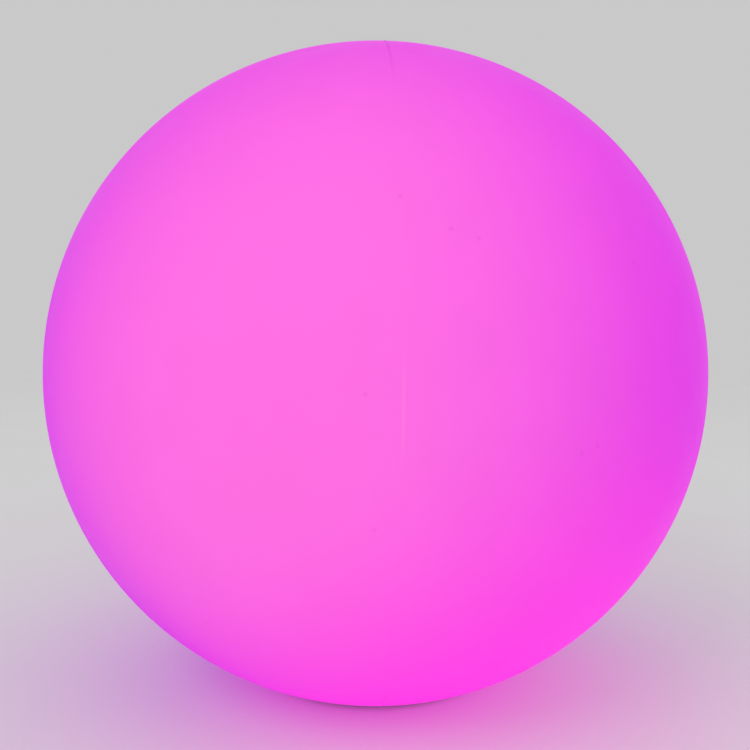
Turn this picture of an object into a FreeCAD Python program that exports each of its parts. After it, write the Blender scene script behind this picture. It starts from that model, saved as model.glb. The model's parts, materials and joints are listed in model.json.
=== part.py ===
"""Rechargeable garden globe light: an opal moulded globe that screws down over a sealed lamp base.

Millimetres. +Z is up, the floor is Z = 0, the globe's axis is the Z axis and -Y is the front. The base
stands on rubber feet and carries the battery, the control board and the lamp head. The globe ends in a
threaded neck collar, which screws onto the base from above and seals on a flat gasket.
"""

import FreeCAD, Part

import math
import os

import Sketcher
from FreeCAD import Placement, Rotation, Vector

# name: (value, what it sets). Lengths are millimetres and angles degrees.
SIZES = {
    # globe
    "globe_radius": (200, "outside radius of the globe"),
    "shell_wall": (3.2, "wall of the moulded globe"),
    "foot_ring_width": (5, "width of the flat foot ring"),
    "foot_ring_height": (4, "height of the foot ring above the floor"),
    "seat_recess": (9, "depth of the recess that hides the base flange"),
    "neck_radius": (62, "inside radius of the moulded neck"),
    "neck_height": (24, "height of the moulded neck above the recess"),
    "seam_turn": (3.4, "angle of the mould parting plane from the front"),
    "seam_height": (0.35, "height of the parting line's ridge"),
    "seam_width": (0.9, "width of the parting line's ridge"),
    # neck collar and thread
    "collar_wall": (2.5, "wall of the collar outside its thread"),
    "collar_flange": (2.5, "thickness of the collar's flange"),
    "collar_lip": (1.6, "height of the lip that locks the collar over the neck"),
    "collar_lip_reach": (2.4, "how far the lip reaches over the neck"),
    "collar_clearance": (1, "gap between the collar's flange and the recess wall"),
    "thread_pitch": (6, "rise of the thread in one turn"),
    "thread_turns": (1.5, "turns of thread on each side"),
    "thread_depth": (2.1, "height of the thread ridge"),
    "thread_clearance": (0.8, "radial gap between ridge and root"),
    "thread_root": (3.4, "width of the ridge at its root"),
    "thread_crest": (1.8, "width of the ridge at its crest"),
    "thread_sink": (0.4, "how deep the ridge is sunk into its wall"),
    "thread_lead": (6, "height of the first thread above the recess seat"),
    # base housing
    "base_floor_gap": (3, "height of the base's underside above the floor"),
    "housing_wall": (3, "wall of the housing tube"),
    "housing_height": (51, "height of the housing above its flange"),
    "flange_reach": (12.9, "how far the flange reaches past the housing tube"),
    "flange_gap": (1.5, "gap between the flange and the recess wall"),
    "flange_plate": (3, "thickness of the flange plate"),
    "skirt_wall": (2.5, "wall of the flange skirt"),
    "rib_count": (12, "grip ribs under the flange"),
    "rib_wall": (1.8, "thickness of a grip rib"),
    "rib_setback": (0.6, "height of the ribs above the underside"),
    "gasket_thickness": (2.2, "thickness of the neck gasket"),
    "gasket_groove": (0.7, "depth of the groove that holds the neck gasket"),
    "gasket_setback": (4, "distance of the neck gasket from the housing tube"),
    "gasket_width": (6.8, "width of the neck gasket"),
    "gasket_clearance": (0.2, "gap between the neck gasket and its groove's sides"),
    "ledge_width": (10.6, "width of the lower ledge"),
    "ledge_thickness": (3, "thickness of the lower ledge"),
    "deck_rise": (15, "height of the deck's underside above the flange"),
    "deck_thickness": (2.5, "thickness of the deck"),
    "top_ledge_width": (7.6, "width of the top ledge"),
    "top_ledge_thickness": (3, "thickness of the top ledge"),
    # feet
    "foot_count": (6, "rubber feet"),
    "foot_setback": (6, "distance of a foot's axis from the housing tube"),
    "foot_radius": (4.8, "radius of a rubber foot"),
    "foot_edge": (1, "bevel at a foot's edge"),
    "foot_seat": (1.5, "depth of a foot's socket"),
    "foot_wall": (1.5, "wall round a foot's socket"),
    "foot_fit": (0.1, "gap round a foot in its socket"),
    # bottom cover
    "cover_thickness": (4, "thickness of the bottom cover"),
    "cover_fit": (0.3, "gap round the bottom cover"),
    "cover_gasket": (1, "thickness of the cover's gasket"),
    "cover_screw_setback": (5.1, "distance of a cover screw's axis from the bore wall"),
    "cover_screw_count": (6, "cover screws"),
    "boss_wall": (2.4, "wall of a screw boss round its screw"),
    "cover_boss_height": (5, "height of a cover screw's boss above the ledge"),
    # screws
    "screw_radius": (1.5, "radius of a main screw"),
    "screw_head_radius": (2.8, "radius of a main screw's head"),
    "screw_head_height": (1.8, "height of a main screw's head"),
    "screw_fit": (0.05, "gap round a screw in its boss"),
    "screw_clearance": (0.3, "gap round a screw where it passes through"),
    "screw_blind": (1, "depth of a boss's hole past its screw's tip"),
    "head_sink": (0.2, "depth of a cover screw's head below the underside"),
    "small_screw_radius": (1.25, "radius of a board screw"),
    "small_head_radius": (2.3, "radius of a board screw's head"),
    "small_head_height": (1.4, "height of a board screw's head"),
    # control board and what is on it
    "board_radius": (40.5, "radius of the control board"),
    "board_thickness": (1.6, "thickness of a circuit board"),
    "board_rise": (8, "height of the control board above the flange"),
    "post_reach": (25, "distance of each board post from both upright mid planes"),
    "post_wall": (1.9, "wall of a board post round its screw"),
    "chip_side": (10, "side of the controller chip"),
    "chip_height": (1.4, "height of the controller chip"),
    "driver_width": (6.5, "width of a lamp driver"),
    "driver_depth": (3.5, "depth of a lamp driver"),
    "driver_height": (1.6, "height of a lamp driver"),
    "driver_pitch": (10, "spacing of the lamp drivers"),
    "driver_row": (13, "distance of the row of drivers behind the axis"),
    "coil_side": (8, "side of the charge coil"),
    "coil_height": (4, "height of the charge coil"),
    "coil_left": (12, "distance of the charge coil to the left of the axis"),
    "coil_ahead": (23, "distance of the charge coil in front of the axis"),
    "radio_width": (14, "width of the radio module"),
    "radio_depth": (9, "depth of the radio module"),
    "radio_height": (2.4, "height of the radio module"),
    "radio_right": (10, "distance of the radio module to the right of the axis"),
    "radio_behind": (27, "distance of the radio module behind the axis"),
    "capacitor_radius": (3.15, "radius of a filter capacitor"),
    "capacitor_height": (5.4, "height of a filter capacitor"),
    "capacitor_right": (12, "distance of the first capacitor to the right of the axis"),
    "capacitor_ahead": (24, "distance of the first capacitor in front of the axis"),
    "capacitor_step": (9, "step to the right from one capacitor to the next"),
    "capacitor_back": (5, "step to the rear from one capacitor to the next"),
    "jack_setback": (19, "distance of the charging jack from the lower ledge's edge"),
    "jack_barrel": (4.4, "radius of the jack's barrel"),
    "jack_bore": (2.8, "radius of the jack's bore"),
    "jack_pin": (1, "radius of the jack's centre pin"),
    "jack_body": (12, "side of the jack's square body"),
    "jack_body_height": (8.6, "height of the jack's square body"),
    "jack_bore_depth": (9.5, "depth of the jack's bore"),
    "jack_pin_setback": (2.2, "depth of the centre pin's tip inside the bore"),
    "button_setback": (19, "distance of the power button from the lower ledge's edge"),
    "button_radius": (7, "radius of the power button"),
    "button_proud": (0.8, "how far the button stands out of the underside"),
    "button_travel": (1.5, "travel of the power button"),
    "button_fit": (0.25, "gap round the button in its sleeve"),
    "button_lip": (1.3, "height of the button's retaining lip"),
    "button_lip_reach": (1.4, "how far the lip reaches past the button"),
    "button_ring": (0.6, "section radius of the button's sealing ring"),
    "button_gap": (0.1, "gap over the button's lip, its stem and round its ring"),
    "button_stem": (2.2, "radius of the button's stem"),
    "switch_body": (9, "side of the switch body"),
    "switch_height": (4.6, "height of the switch body"),
    "plunger_radius": (1.5, "radius of the switch plunger"),
    "plunger_fit": (0.1, "gap round the plunger"),
    "lens_setback": (21, "distance of the status lens from the lower ledge's edge"),
    "lens_radius": (1.6, "radius of the status lens"),
    "vent_setback": (19, "distance of the breather vent from the lower ledge's edge"),
    "vent_head": (6, "radius of the vent's head"),
    "vent_stem": (2.8, "radius of the vent's stem"),
    "vent_barb": (0.7, "how far the vent's barb reaches past its stem"),
    "vent_barb_height": (1.6, "height of the vent's barb"),
    "vent_edge": (0.5, "bevel at the vent's head"),
    "vent_slot": (0.8, "width of a slot in the vent's head"),
    "vent_slot_depth": (0.6, "depth of a slot in the vent's head"),
    "vent_slot_count": (8, "slots in the vent's head"),
    # charging port flap
    "flap_reach": (13, "distance from the flap's pivot to the jack's axis"),
    "flap_width": (10.4, "width of the flap"),
    "flap_thickness": (1.5, "thickness of the flap"),
    "flap_gap": (0.3, "gap round the flap in its recess"),
    "flap_barrel": (1.6, "radius of the flap's hinge barrel"),
    "flap_pin": (0.75, "radius of the flap's pin"),
    "flap_pin_reach": (3, "how far the pin reaches past the flap at each side"),
    "flap_pin_slot": (1.3, "width of the slot that the pin snaps in through"),
    "flap_land": (1.2, "width of the raised pad beyond the pin's ends"),
    "flap_plug": (2.45, "radius of the flap's plug"),
    "flap_plug_height": (2, "height of the flap's plug"),
    # battery
    "cell_radius": (9.2, "radius of a battery cell"),
    "cell_length": (65, "length of a battery cell"),
    "cell_gap": (1, "gap between the two cells"),
    "cell_fit": (0.05, "gap round a cell in its cradle"),
    "tray_wall": (1.6, "wall of the battery tray"),
    "tray_floor": (2, "floor of the battery tray"),
    "tray_fit": (0.3, "gap round the cells in the tray"),
    "tray_cradle": (2.5, "depth of the cradles that the cells lie in"),
    "tray_side": (12, "height of the tray's walls"),
    "link_thickness": (0.4, "thickness of a cell link"),
    "link_width": (7, "width of a cell link"),
    "strap_width": (10, "width of the battery strap"),
    "strap_thickness": (0.8, "thickness of the battery strap"),
    "strap_foot": (9, "length of the strap's feet"),
    # lamp head
    "plate_thickness": (2, "thickness of the heat plate"),
    "plate_fit": (0.3, "gap round the heat plate"),
    "clamp_setback": (6.4, "distance of a clamp screw's axis from the housing's outside"),
    "clamp_count": (6, "clamp screws"),
    "clamp_boss_height": (9, "depth of a clamp screw's boss below the top ledge"),
    "dome_seal": (1, "thickness of the dome's seal"),
    "dome_flange": (2, "thickness of the dome's flange"),
    "dome_setback": (4.7, "distance of the dome's outside from the clamp screws' axes"),
    "dome_rise": (24, "height of the dome above its flange"),
    "dome_wall": (2, "wall of the dome"),
    "clamp_ring": (2.5, "thickness of the clamp ring"),
    "lamp_board_gap": (5.5, "gap between the lamp board and the dome's inside"),
    "lamp_screw_setback": (6, "distance of a lamp board screw's axis from the board's edge"),
    "lamp_screw_count": (3, "lamp board screws"),
    "lamp_screw_turn": (30, "angle of the first lamp board screw from the right"),
    "emitter_circle": (22, "radius of the circle of emitters"),
    "emitter_count": (12, "emitters"),
    "emitter_side": (5, "side of an emitter"),
    "emitter_height": (1.2, "height of an emitter's package"),
    "emitter_lens": (2.1, "radius of an emitter's lens"),
    # wires
    "wire_radius": (0.7, "radius of a lead"),
    "wire_pitch": (2, "spacing of the leads"),
    "lamp_lead_count": (5, "leads to the lamp board"),
    "lead_row": (33, "distance of the row of lamp leads behind the axis"),
    "lead_offset": (5, "distance of that row's middle to the left of the axis"),
    "slot_margin": (1.5, "gap round the leads in their slots"),
    "socket_gap": (1.5, "gap between the two wire sockets"),
}

doc = FreeCAD.newDocument("GardenGlobe")
sheet = doc.addObject("Spreadsheet::Sheet", "Sizes")
for row, (alias, (number, meaning)) in enumerate(SIZES.items(), start=1):
    sheet.set(f"A{row}", alias)
    sheet.set(f"B{row}", str(number))
    sheet.setAlias(f"B{row}", alias)
    sheet.set(f"C{row}", meaning)
doc.recompute()


class Size:
    """A number from the sheet, or worked out from such numbers, with the expression that says how."""

    def __init__(self, value, text):
        self.value = value
        self.text = text

    @staticmethod
    def of(other):
        return other if isinstance(other, Size) else Size(float(other), repr(float(other)))

    def join(self, sign, other, value):
        return Size(value, f"({self.text} {sign} {other.text})")

    def __add__(self, other):
        other = Size.of(other)
        return self.join("+", other, self.value + other.value)

    def __sub__(self, other):
        other = Size.of(other)
        return self.join("-", other, self.value - other.value)

    def __mul__(self, other):
        other = Size.of(other)
        return self.join("*", other, self.value * other.value)

    def __truediv__(self, other):
        other = Size.of(other)
        return self.join("/", other, self.value / other.value)

    def __radd__(self, other):
        return Size.of(other) + self

    def __rmul__(self, other):
        return Size.of(other) * self

    def __neg__(self):
        return Size(-self.value, f"(-1 * {self.text})")

    def root(self):
        return Size(math.sqrt(self.value), f"sqrt({self.text})")


def size(name):
    return Size(float(sheet.get(name)), f"Sizes.{name}")


def polar(radius, angle):
    """The x and y of a point at an angle in degrees, counted from +X."""
    across = Size(math.cos(math.radians(angle.value)), f"cos({angle.text} * 1 deg)")
    along = Size(math.sin(math.radians(angle.value)), f"sin({angle.text} * 1 deg)")
    return radius * across, radius * along


# ---------------------------------------------------------------- levels and radii that pieces share

globe_radius = size("globe_radius")
shell_wall = size("shell_wall")
foot_ring_z = size("foot_ring_height")
globe_inner = globe_radius - shell_wall
thread_root_out = size("neck_radius") - size("collar_wall")
housing_radius = thread_root_out - size("thread_depth") - size("thread_clearance")
bore_radius = housing_radius - size("housing_wall")
flange_radius = housing_radius + size("flange_reach")
recess_radius = flange_radius + size("flange_gap")
foot_ring_radius = recess_radius + size("foot_ring_width")
globe_centre_z = foot_ring_z + (globe_radius * globe_radius - foot_ring_radius * foot_ring_radius).root()
seat_z = foot_ring_z + size("seat_recess")
neck_top_z = seat_z + size("neck_height")

collar_bottom_z = seat_z - size("collar_flange")
flange_top_z = collar_bottom_z - size("gasket_thickness") + size("gasket_groove")
flange_under_z = flange_top_z - size("flange_plate")
underside_z = size("base_floor_gap")
housing_top_z = flange_top_z + size("housing_height")

cover_top_z = underside_z + size("cover_thickness")
ledge_z = cover_top_z + size("cover_gasket")
ledge_top_z = ledge_z + size("ledge_thickness")
deck_z = flange_top_z + size("deck_rise")
deck_top_z = deck_z + size("deck_thickness")
board_z = flange_top_z + size("board_rise")
board_top_z = board_z + size("board_thickness")

plate_z = housing_top_z - size("plate_thickness")
top_ledge_z = plate_z - size("top_ledge_thickness")
dome_flange_z = housing_top_z + size("dome_seal")
clamp_ring_z = dome_flange_z + size("dome_flange")
clamp_top_z = clamp_ring_z + size("clamp_ring")
lamp_board_z = housing_top_z
lamp_board_top_z = lamp_board_z + size("board_thickness")

boss_radius = size("screw_radius") + size("boss_wall")
post_radius = size("small_screw_radius") + size("post_wall")
foot_circle = housing_radius + size("foot_setback")
gasket_inner = housing_radius + size("gasket_setback")
ledge_radius = bore_radius - size("ledge_width")
top_ledge_radius = bore_radius - size("top_ledge_width")
cover_screw_circle = bore_radius - size("cover_screw_setback")
clamp_circle = housing_radius - size("clamp_setback")
dome_base = clamp_circle - size("dome_setback")
lamp_board_radius = dome_base - size("dome_wall") - size("lamp_board_gap")
lamp_screw_circle = lamp_board_radius - size("lamp_screw_setback")
jack_reach = ledge_radius - size("jack_setback")
button_reach = ledge_radius - size("button_setback")
lens_reach = ledge_radius - size("lens_setback")
vent_reach = ledge_radius - size("vent_setback")
foot_boss_radius = size("foot_radius") + size("foot_fit") + size("foot_wall")
cover_radius = bore_radius - size("cover_fit")

flap_pivot_x = -(jack_reach + size("flap_reach"))
flap_pivot_z = underside_z + size("flap_barrel") + size("flap_gap") / 2
flap_end_x = -jack_reach + size("jack_barrel") + size("flap_gap")
flap_recess_half = size("flap_width") / 2 + size("flap_gap")
flap_pin_length = (flap_recess_half + size("flap_pin_reach")) * 2
jack_face_z = underside_z + size("flap_thickness") + size("flap_gap")
jack_body_z = board_z - size("jack_body_height")
switch_z = board_z - size("switch_height")
button_ring_outer = size("button_radius") + size("button_fit") - size("button_gap")
button_groove_radius = button_ring_outer - size("button_ring") * 2
plunger_z = switch_z - size("button_travel") - size("button_gap")
status_lamp_height = size("lens_radius")
status_lamp_z = board_z - status_lamp_height
post_circle = size("post_reach") * Size.of(2).root()
cell_z = deck_top_z + size("tray_floor") + size("cell_radius")
cell_y = size("cell_radius") + size("cell_gap") / 2
cell_end = size("cell_length") / 2
tray_inner_x = cell_end + size("link_thickness") + size("tray_fit")
tray_inner_y = cell_y + size("cell_radius") + size("tray_fit")
tray_top_z = deck_top_z + size("tray_floor") + size("tray_side")
strap_screw_y = tray_inner_y + size("tray_wall") + size("strap_thickness") + size("strap_foot") / 2
link_top_z = tray_top_z + size("link_width") / 2
lamp_row_half = (size("lamp_lead_count") - 1) * size("wire_pitch") / 2
lamp_row_x = -size("lead_offset")
socket_pad = size("wire_pitch") * 0.75
battery_row_x = lamp_row_x - lamp_row_half - socket_pad * 2 - size("socket_gap") - size("wire_pitch") / 2
socket_top_z = board_top_z + (deck_z - board_top_z) * 0.8


# ---------------------------------------------------------------- sketching and features


def new_body(label):
    body = doc.addObject("PartDesign::Body", label)
    body.Label = label
    body.AllowCompound = True
    return body


def origin(body, role):
    return next(item for item in body.Origin.OriginFeatures if item.Role == role)


def new_sketch(body, name, plane="XZ_Plane", lift=None):
    sketch = body.newObject("Sketcher::SketchObject", name)
    sketch.AttachmentSupport = [(origin(body, plane), "")]
    sketch.MapMode = "FlatFace"
    if lift is not None:
        sketch.setExpression("AttachmentOffset.Base.z", lift.text)
    return sketch


def fix_distance(sketch, kind, across_axis, geo, point, distance):
    """Ties one coordinate of a point to its size, or puts the point on the axis where it is nought."""
    if not isinstance(distance, Size) and distance == 0:
        sketch.addConstraint(Sketcher.Constraint("PointOnObject", geo, point, across_axis))
        return
    distance = Size.of(distance)
    index = sketch.addConstraint(Sketcher.Constraint(kind, -1, 1, geo, point, distance.value))
    sketch.setExpression(f"Constraints[{index}]", distance.text)


def fix_point(sketch, geo, point, x, y):
    fix_distance(sketch, "DistanceX", -2, geo, point, x)
    fix_distance(sketch, "DistanceY", -1, geo, point, y)


def arc_between(start, end, centre):
    """The arc under a half turn from start to end about centre, and whether it runs clockwise."""
    turn = (start - centre).cross(end - centre).z
    first, last = (start, end) if turn >= 0 else (end, start)
    low = math.atan2(first.y - centre.y, first.x - centre.x)
    high = math.atan2(last.y - centre.y, last.x - centre.x)
    if high < low:
        high += 2 * math.pi
    whole = Part.Circle(centre, Vector(0, 0, 1), (start - centre).Length)
    return Part.ArcOfCircle(whole, low, high), turn < 0


def axis_centre(start, end):
    """The point on the sketch's upright axis that is as far from start as from end."""
    rise = (start.x**2 + start.y**2 - end.x**2 - end.y**2) / (2 * (start.y - end.y))
    return Vector(0, rise, 0)


def outline(sketch, corners):
    """A closed outline. A corner is (x, y), or (x, y, "arc") where an arc about the axis leads onward."""
    places = [Vector(Size.of(c[0]).value, Size.of(c[1]).value, 0) for c in corners]
    edges = []
    for index, corner in enumerate(corners):
        start, end = places[index], places[(index + 1) % len(places)]
        if len(corner) == 3:
            arc, clockwise = arc_between(start, end, axis_centre(start, end))
            geo = sketch.addGeometry(arc)
            sketch.addConstraint(Sketcher.Constraint("PointOnObject", geo, 3, -2))
            edges.append((geo, 2, 1) if clockwise else (geo, 1, 2))
        else:
            geo = sketch.addGeometry(Part.LineSegment(start, end))
            edges.append((geo, 1, 2))
    for index, (geo, first, last) in enumerate(edges):
        following, following_first, _ = edges[(index + 1) % len(edges)]
        sketch.addConstraint(Sketcher.Constraint("Coincident", geo, last, following, following_first))
        fix_point(sketch, geo, first, corners[index][0], corners[index][1])


def rectangle(sketch, left, right, low, high):
    outline(sketch, [(left, low), (right, low), (right, high), (left, high)])


def circle(sketch, x, y, radius):
    places = [Size.of(n).value for n in (x, y)]
    geo = sketch.addGeometry(Part.Circle(Vector(*places, 0), Vector(0, 0, 1), radius.value))
    fix_point(sketch, geo, 3, x, y)
    index = sketch.addConstraint(Sketcher.Constraint("Radius", geo, radius.value))
    sketch.setExpression(f"Constraints[{index}]", radius.text)


def upright_axis(sketch, x):
    """A construction line along the sketch's upright direction, to turn an off-centre profile about."""
    start, end = Vector(x.value, 0, 0), Vector(x.value, 1, 0)
    geo = sketch.addGeometry(Part.LineSegment(start, end), True)
    fix_point(sketch, geo, 1, x, 0)
    fix_point(sketch, geo, 2, x, Size.of(1))


def level_axis(sketch, y):
    """A construction line along the sketch's level direction, to turn a profile about."""
    start, end = Vector(0, y.value, 0), Vector(1, y.value, 0)
    geo = sketch.addGeometry(Part.LineSegment(start, end), True)
    fix_point(sketch, geo, 1, 0, y)
    fix_point(sketch, geo, 2, Size.of(1), y)


def disc_corners(radius, low, high):
    return [(0, low), (radius, low), (radius, high), (0, high)]


def revolve(body, name, sketch, axis="V_Axis", kind="PartDesign::Revolution"):
    turned = body.newObject(kind, name)
    turned.Profile = sketch
    turned.ReferenceAxis = (sketch, [axis])
    turned.Angle = 360
    return turned


def extrude(body, name, sketch, length, down=False, both=False, kind="PartDesign::Pad"):
    made = body.newObject(kind, name)
    made.Profile = sketch
    made.setExpression("Length", length.text)
    made.Midplane = both
    made.Reversed = down
    return made


def cut(body, name, sketch, length, up=True):
    """A pocket from the sketch's plane, upwards or downwards."""
    pocket = extrude(body, name, sketch, length, kind="PartDesign::Pocket")
    pocket.Reversed = up
    return pocket


def ring_pattern(body, name, features, count):
    pattern = body.newObject("PartDesign::PolarPattern", name)
    pattern.Originals = features
    pattern.Axis = (origin(body, "Z_Axis"), [""])
    pattern.Angle = 360
    pattern.setExpression("Occurrences", count.text)
    body.Tip = pattern
    return pattern


def move(body, x=None, y=None, z=None, turn=None):
    if turn is not None:
        body.Placement = Placement(Vector(), Rotation(Vector(0, 0, 1), 1))
        body.setExpression("Placement.Rotation.Angle", turn.text)
    for letter, distance in (("x", x), ("y", y), ("z", z)):
        if distance is not None:
            body.setExpression(f"Placement.Base.{letter}", distance.text)
    return body


def turned_piece(label, corners):
    """A piece turned about its own upright axis from one profile of (radius, height) corners."""
    body = new_body(label)
    profile = new_sketch(body, f"{label}_profile")
    outline(profile, corners)
    revolve(body, f"{label}_turned", profile)
    return body


def tube_corners(inner, outer, low, high):
    return [(inner, low), (outer, low), (outer, high), (inner, high)]


def block(body, name, width, depth, low, height, x=0, y=0):
    """A box on the body's XY plane, centred on x, y, from low upwards."""
    sketch = new_sketch(body, f"{name}_outline", "XY_Plane", low)
    x, y = Size.of(x), Size.of(y)
    rectangle(sketch, x - width / 2, x + width / 2, y - depth / 2, y + depth / 2)
    return extrude(body, name, sketch, height)


def thread(body, name, root, crest, start_z):
    """A helical ridge from root radius to crest radius, sunk a little into the wall that carries it."""
    sink = size("thread_sink") * (1 if crest.value > root.value else -1)
    half_root, half_crest = size("thread_root") / 2, size("thread_crest") / 2
    sketch = new_sketch(body, f"{name}_section")
    outline(
        sketch,
        [
            (root - sink, start_z - half_root),
            (crest, start_z - half_crest),
            (crest, start_z + half_crest),
            (root - sink, start_z + half_root),
        ],
    )
    helix = body.newObject("PartDesign::AdditiveHelix", name)
    helix.Profile = sketch
    helix.ReferenceAxis = (sketch, ["V_Axis"])
    helix.Mode = "pitch-turns-angle"
    helix.setExpression("Pitch", size("thread_pitch").text)
    helix.setExpression("Turns", size("thread_turns").text)
    return helix


def screws(label, circle_radius, count, seat_z, length, small=False, upward=False, turn=None):
    """A ring of identical socket-head screws: heads bear at seat_z, and tips point up or down."""
    radius = size("small_screw_radius" if small else "screw_radius")
    head_radius = size("small_head_radius" if small else "screw_head_radius")
    head_height = size("small_head_height" if small else "screw_head_height")
    sign = 1 if upward else -1
    tip_z, tip_taper = seat_z + sign * length, radius / 2
    head_z = seat_z - sign * head_height
    body = new_body(label)
    profile = new_sketch(body, f"{label}_profile")
    outline(
        profile,
        [
            (circle_radius, tip_z),
            (circle_radius + radius - tip_taper, tip_z),
            (circle_radius + radius, tip_z - sign * tip_taper),
            (circle_radius + radius, seat_z),
            (circle_radius + head_radius, seat_z),
            (circle_radius + head_radius, head_z + sign * tip_taper / 2),
            (circle_radius + head_radius - tip_taper / 2, head_z),
            (circle_radius, head_z),
        ],
    )
    upright_axis(profile, circle_radius)
    shank = revolve(body, f"{label}_shank", profile, "Axis0")
    socket = new_sketch(body, f"{label}_socket_outline", "XY_Plane", head_z)
    reach = radius * 0.85
    rise = reach * (math.sqrt(3) / 2)
    outline(
        socket,
        [
            (circle_radius + reach, 0),
            (circle_radius + reach / 2, rise),
            (circle_radius - reach / 2, rise),
            (circle_radius - reach, 0),
            (circle_radius - reach / 2, -rise),
            (circle_radius + reach / 2, -rise),
        ],
    )
    drive = cut(body, f"{label}_socket", socket, head_height * 0.6, up=upward)
    ring_pattern(body, f"{label}_ring", [shank, drive], count)
    return move(body, turn=turn)


def drill(body, name, radius, from_z, depth, circle_radius, count=None, y=0):
    """A round hole upwards from from_z at circle_radius along X, or a ring of such holes."""
    sketch = new_sketch(body, f"{name}_outline", "XY_Plane", from_z)
    circle(sketch, circle_radius, y, radius)
    hole = cut(body, name, sketch, depth)
    if count is not None:
        ring_pattern(body, f"{name}_ring", [hole], count)
    return hole


def studs(body, name, radius, from_z, height, circle_radius, count, y=0):
    """A ring of round posts from from_z upwards."""
    sketch = new_sketch(body, f"{name}_outline", "XY_Plane", from_z)
    circle(sketch, circle_radius, y, radius)
    post = extrude(body, name, sketch, height)
    ring_pattern(body, f"{name}_ring", [post], count)
    return post


# ---------------------------------------------------------------- globe


def globe_shell():
    """The moulded globe: one wall all round, foot ring, flange recess, neck and parting ridge."""
    body = new_body("globe_shell")
    outside = new_sketch(body, "globe_outside")
    half = size("seam_width") / 2
    ridge_foot = (globe_radius * globe_radius - half * half).root() + globe_centre_z
    ridge_top = globe_centre_z + globe_radius + size("seam_height")
    middle_z = globe_centre_z
    outline(
        outside,
        [
            (-globe_radius, middle_z, "arc"),
            (-half, ridge_foot),
            (0, ridge_top),
            (half, ridge_foot, "arc"),
            (globe_radius, middle_z),
        ],
    )
    level_axis(outside, middle_z)
    revolve(body, "globe_ball", outside, "Axis0")
    hollow = new_sketch(body, "globe_hollow_profile")
    outline(hollow, globe_hollow_corners())
    revolve(body, "globe_hollow", hollow, kind="PartDesign::Groove")
    return move(body, turn=size("seam_turn"))


def globe_hollow_corners():
    """What is taken out of the ball: its inside, the neck, the flange recess and all below the foot ring."""
    neck_outside = size("neck_radius") + shell_wall
    wall_top_z = seat_z + shell_wall
    gutter = recess_radius + shell_wall
    gutter_z = globe_centre_z - (globe_inner * globe_inner - gutter * gutter).root()
    below_z = globe_centre_z - globe_radius * 1.1
    return [
        (0, below_z),
        (globe_radius, below_z),
        (globe_radius, foot_ring_z),
        (recess_radius, foot_ring_z),
        (recess_radius, seat_z),
        (size("neck_radius"), seat_z),
        (size("neck_radius"), neck_top_z),
        (neck_outside, neck_top_z),
        (neck_outside, wall_top_z),
        (gutter, wall_top_z),
        (gutter, gutter_z, "arc"),
        (0, globe_centre_z + globe_inner),
    ]


def neck_collar():
    """The threaded ring in the neck, with a flange under the recess seat and a lip over the neck's top."""
    lip_top_z = neck_top_z + size("collar_lip")
    body = turned_piece(
        "neck_collar",
        [
            (thread_root_out, collar_bottom_z),
            (recess_radius - size("collar_clearance"), collar_bottom_z),
            (recess_radius - size("collar_clearance"), seat_z),
            (size("neck_radius"), seat_z),
            (size("neck_radius"), neck_top_z),
            (size("neck_radius") + size("collar_lip_reach"), neck_top_z),
            (size("neck_radius"), lip_top_z),
            (thread_root_out, lip_top_z),
        ],
    )
    start_z = seat_z + size("thread_lead")
    thread(body, "collar_thread", thread_root_out, thread_root_out - size("thread_depth"), start_z)
    return body


def neck_gasket():
    """The flat ring that the collar lands on."""
    low = flange_top_z - size("gasket_groove")
    outer = gasket_inner + size("gasket_width")
    return turned_piece("neck_gasket", tube_corners(gasket_inner, outer, low, collar_bottom_z))


# ---------------------------------------------------------------- base


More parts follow.
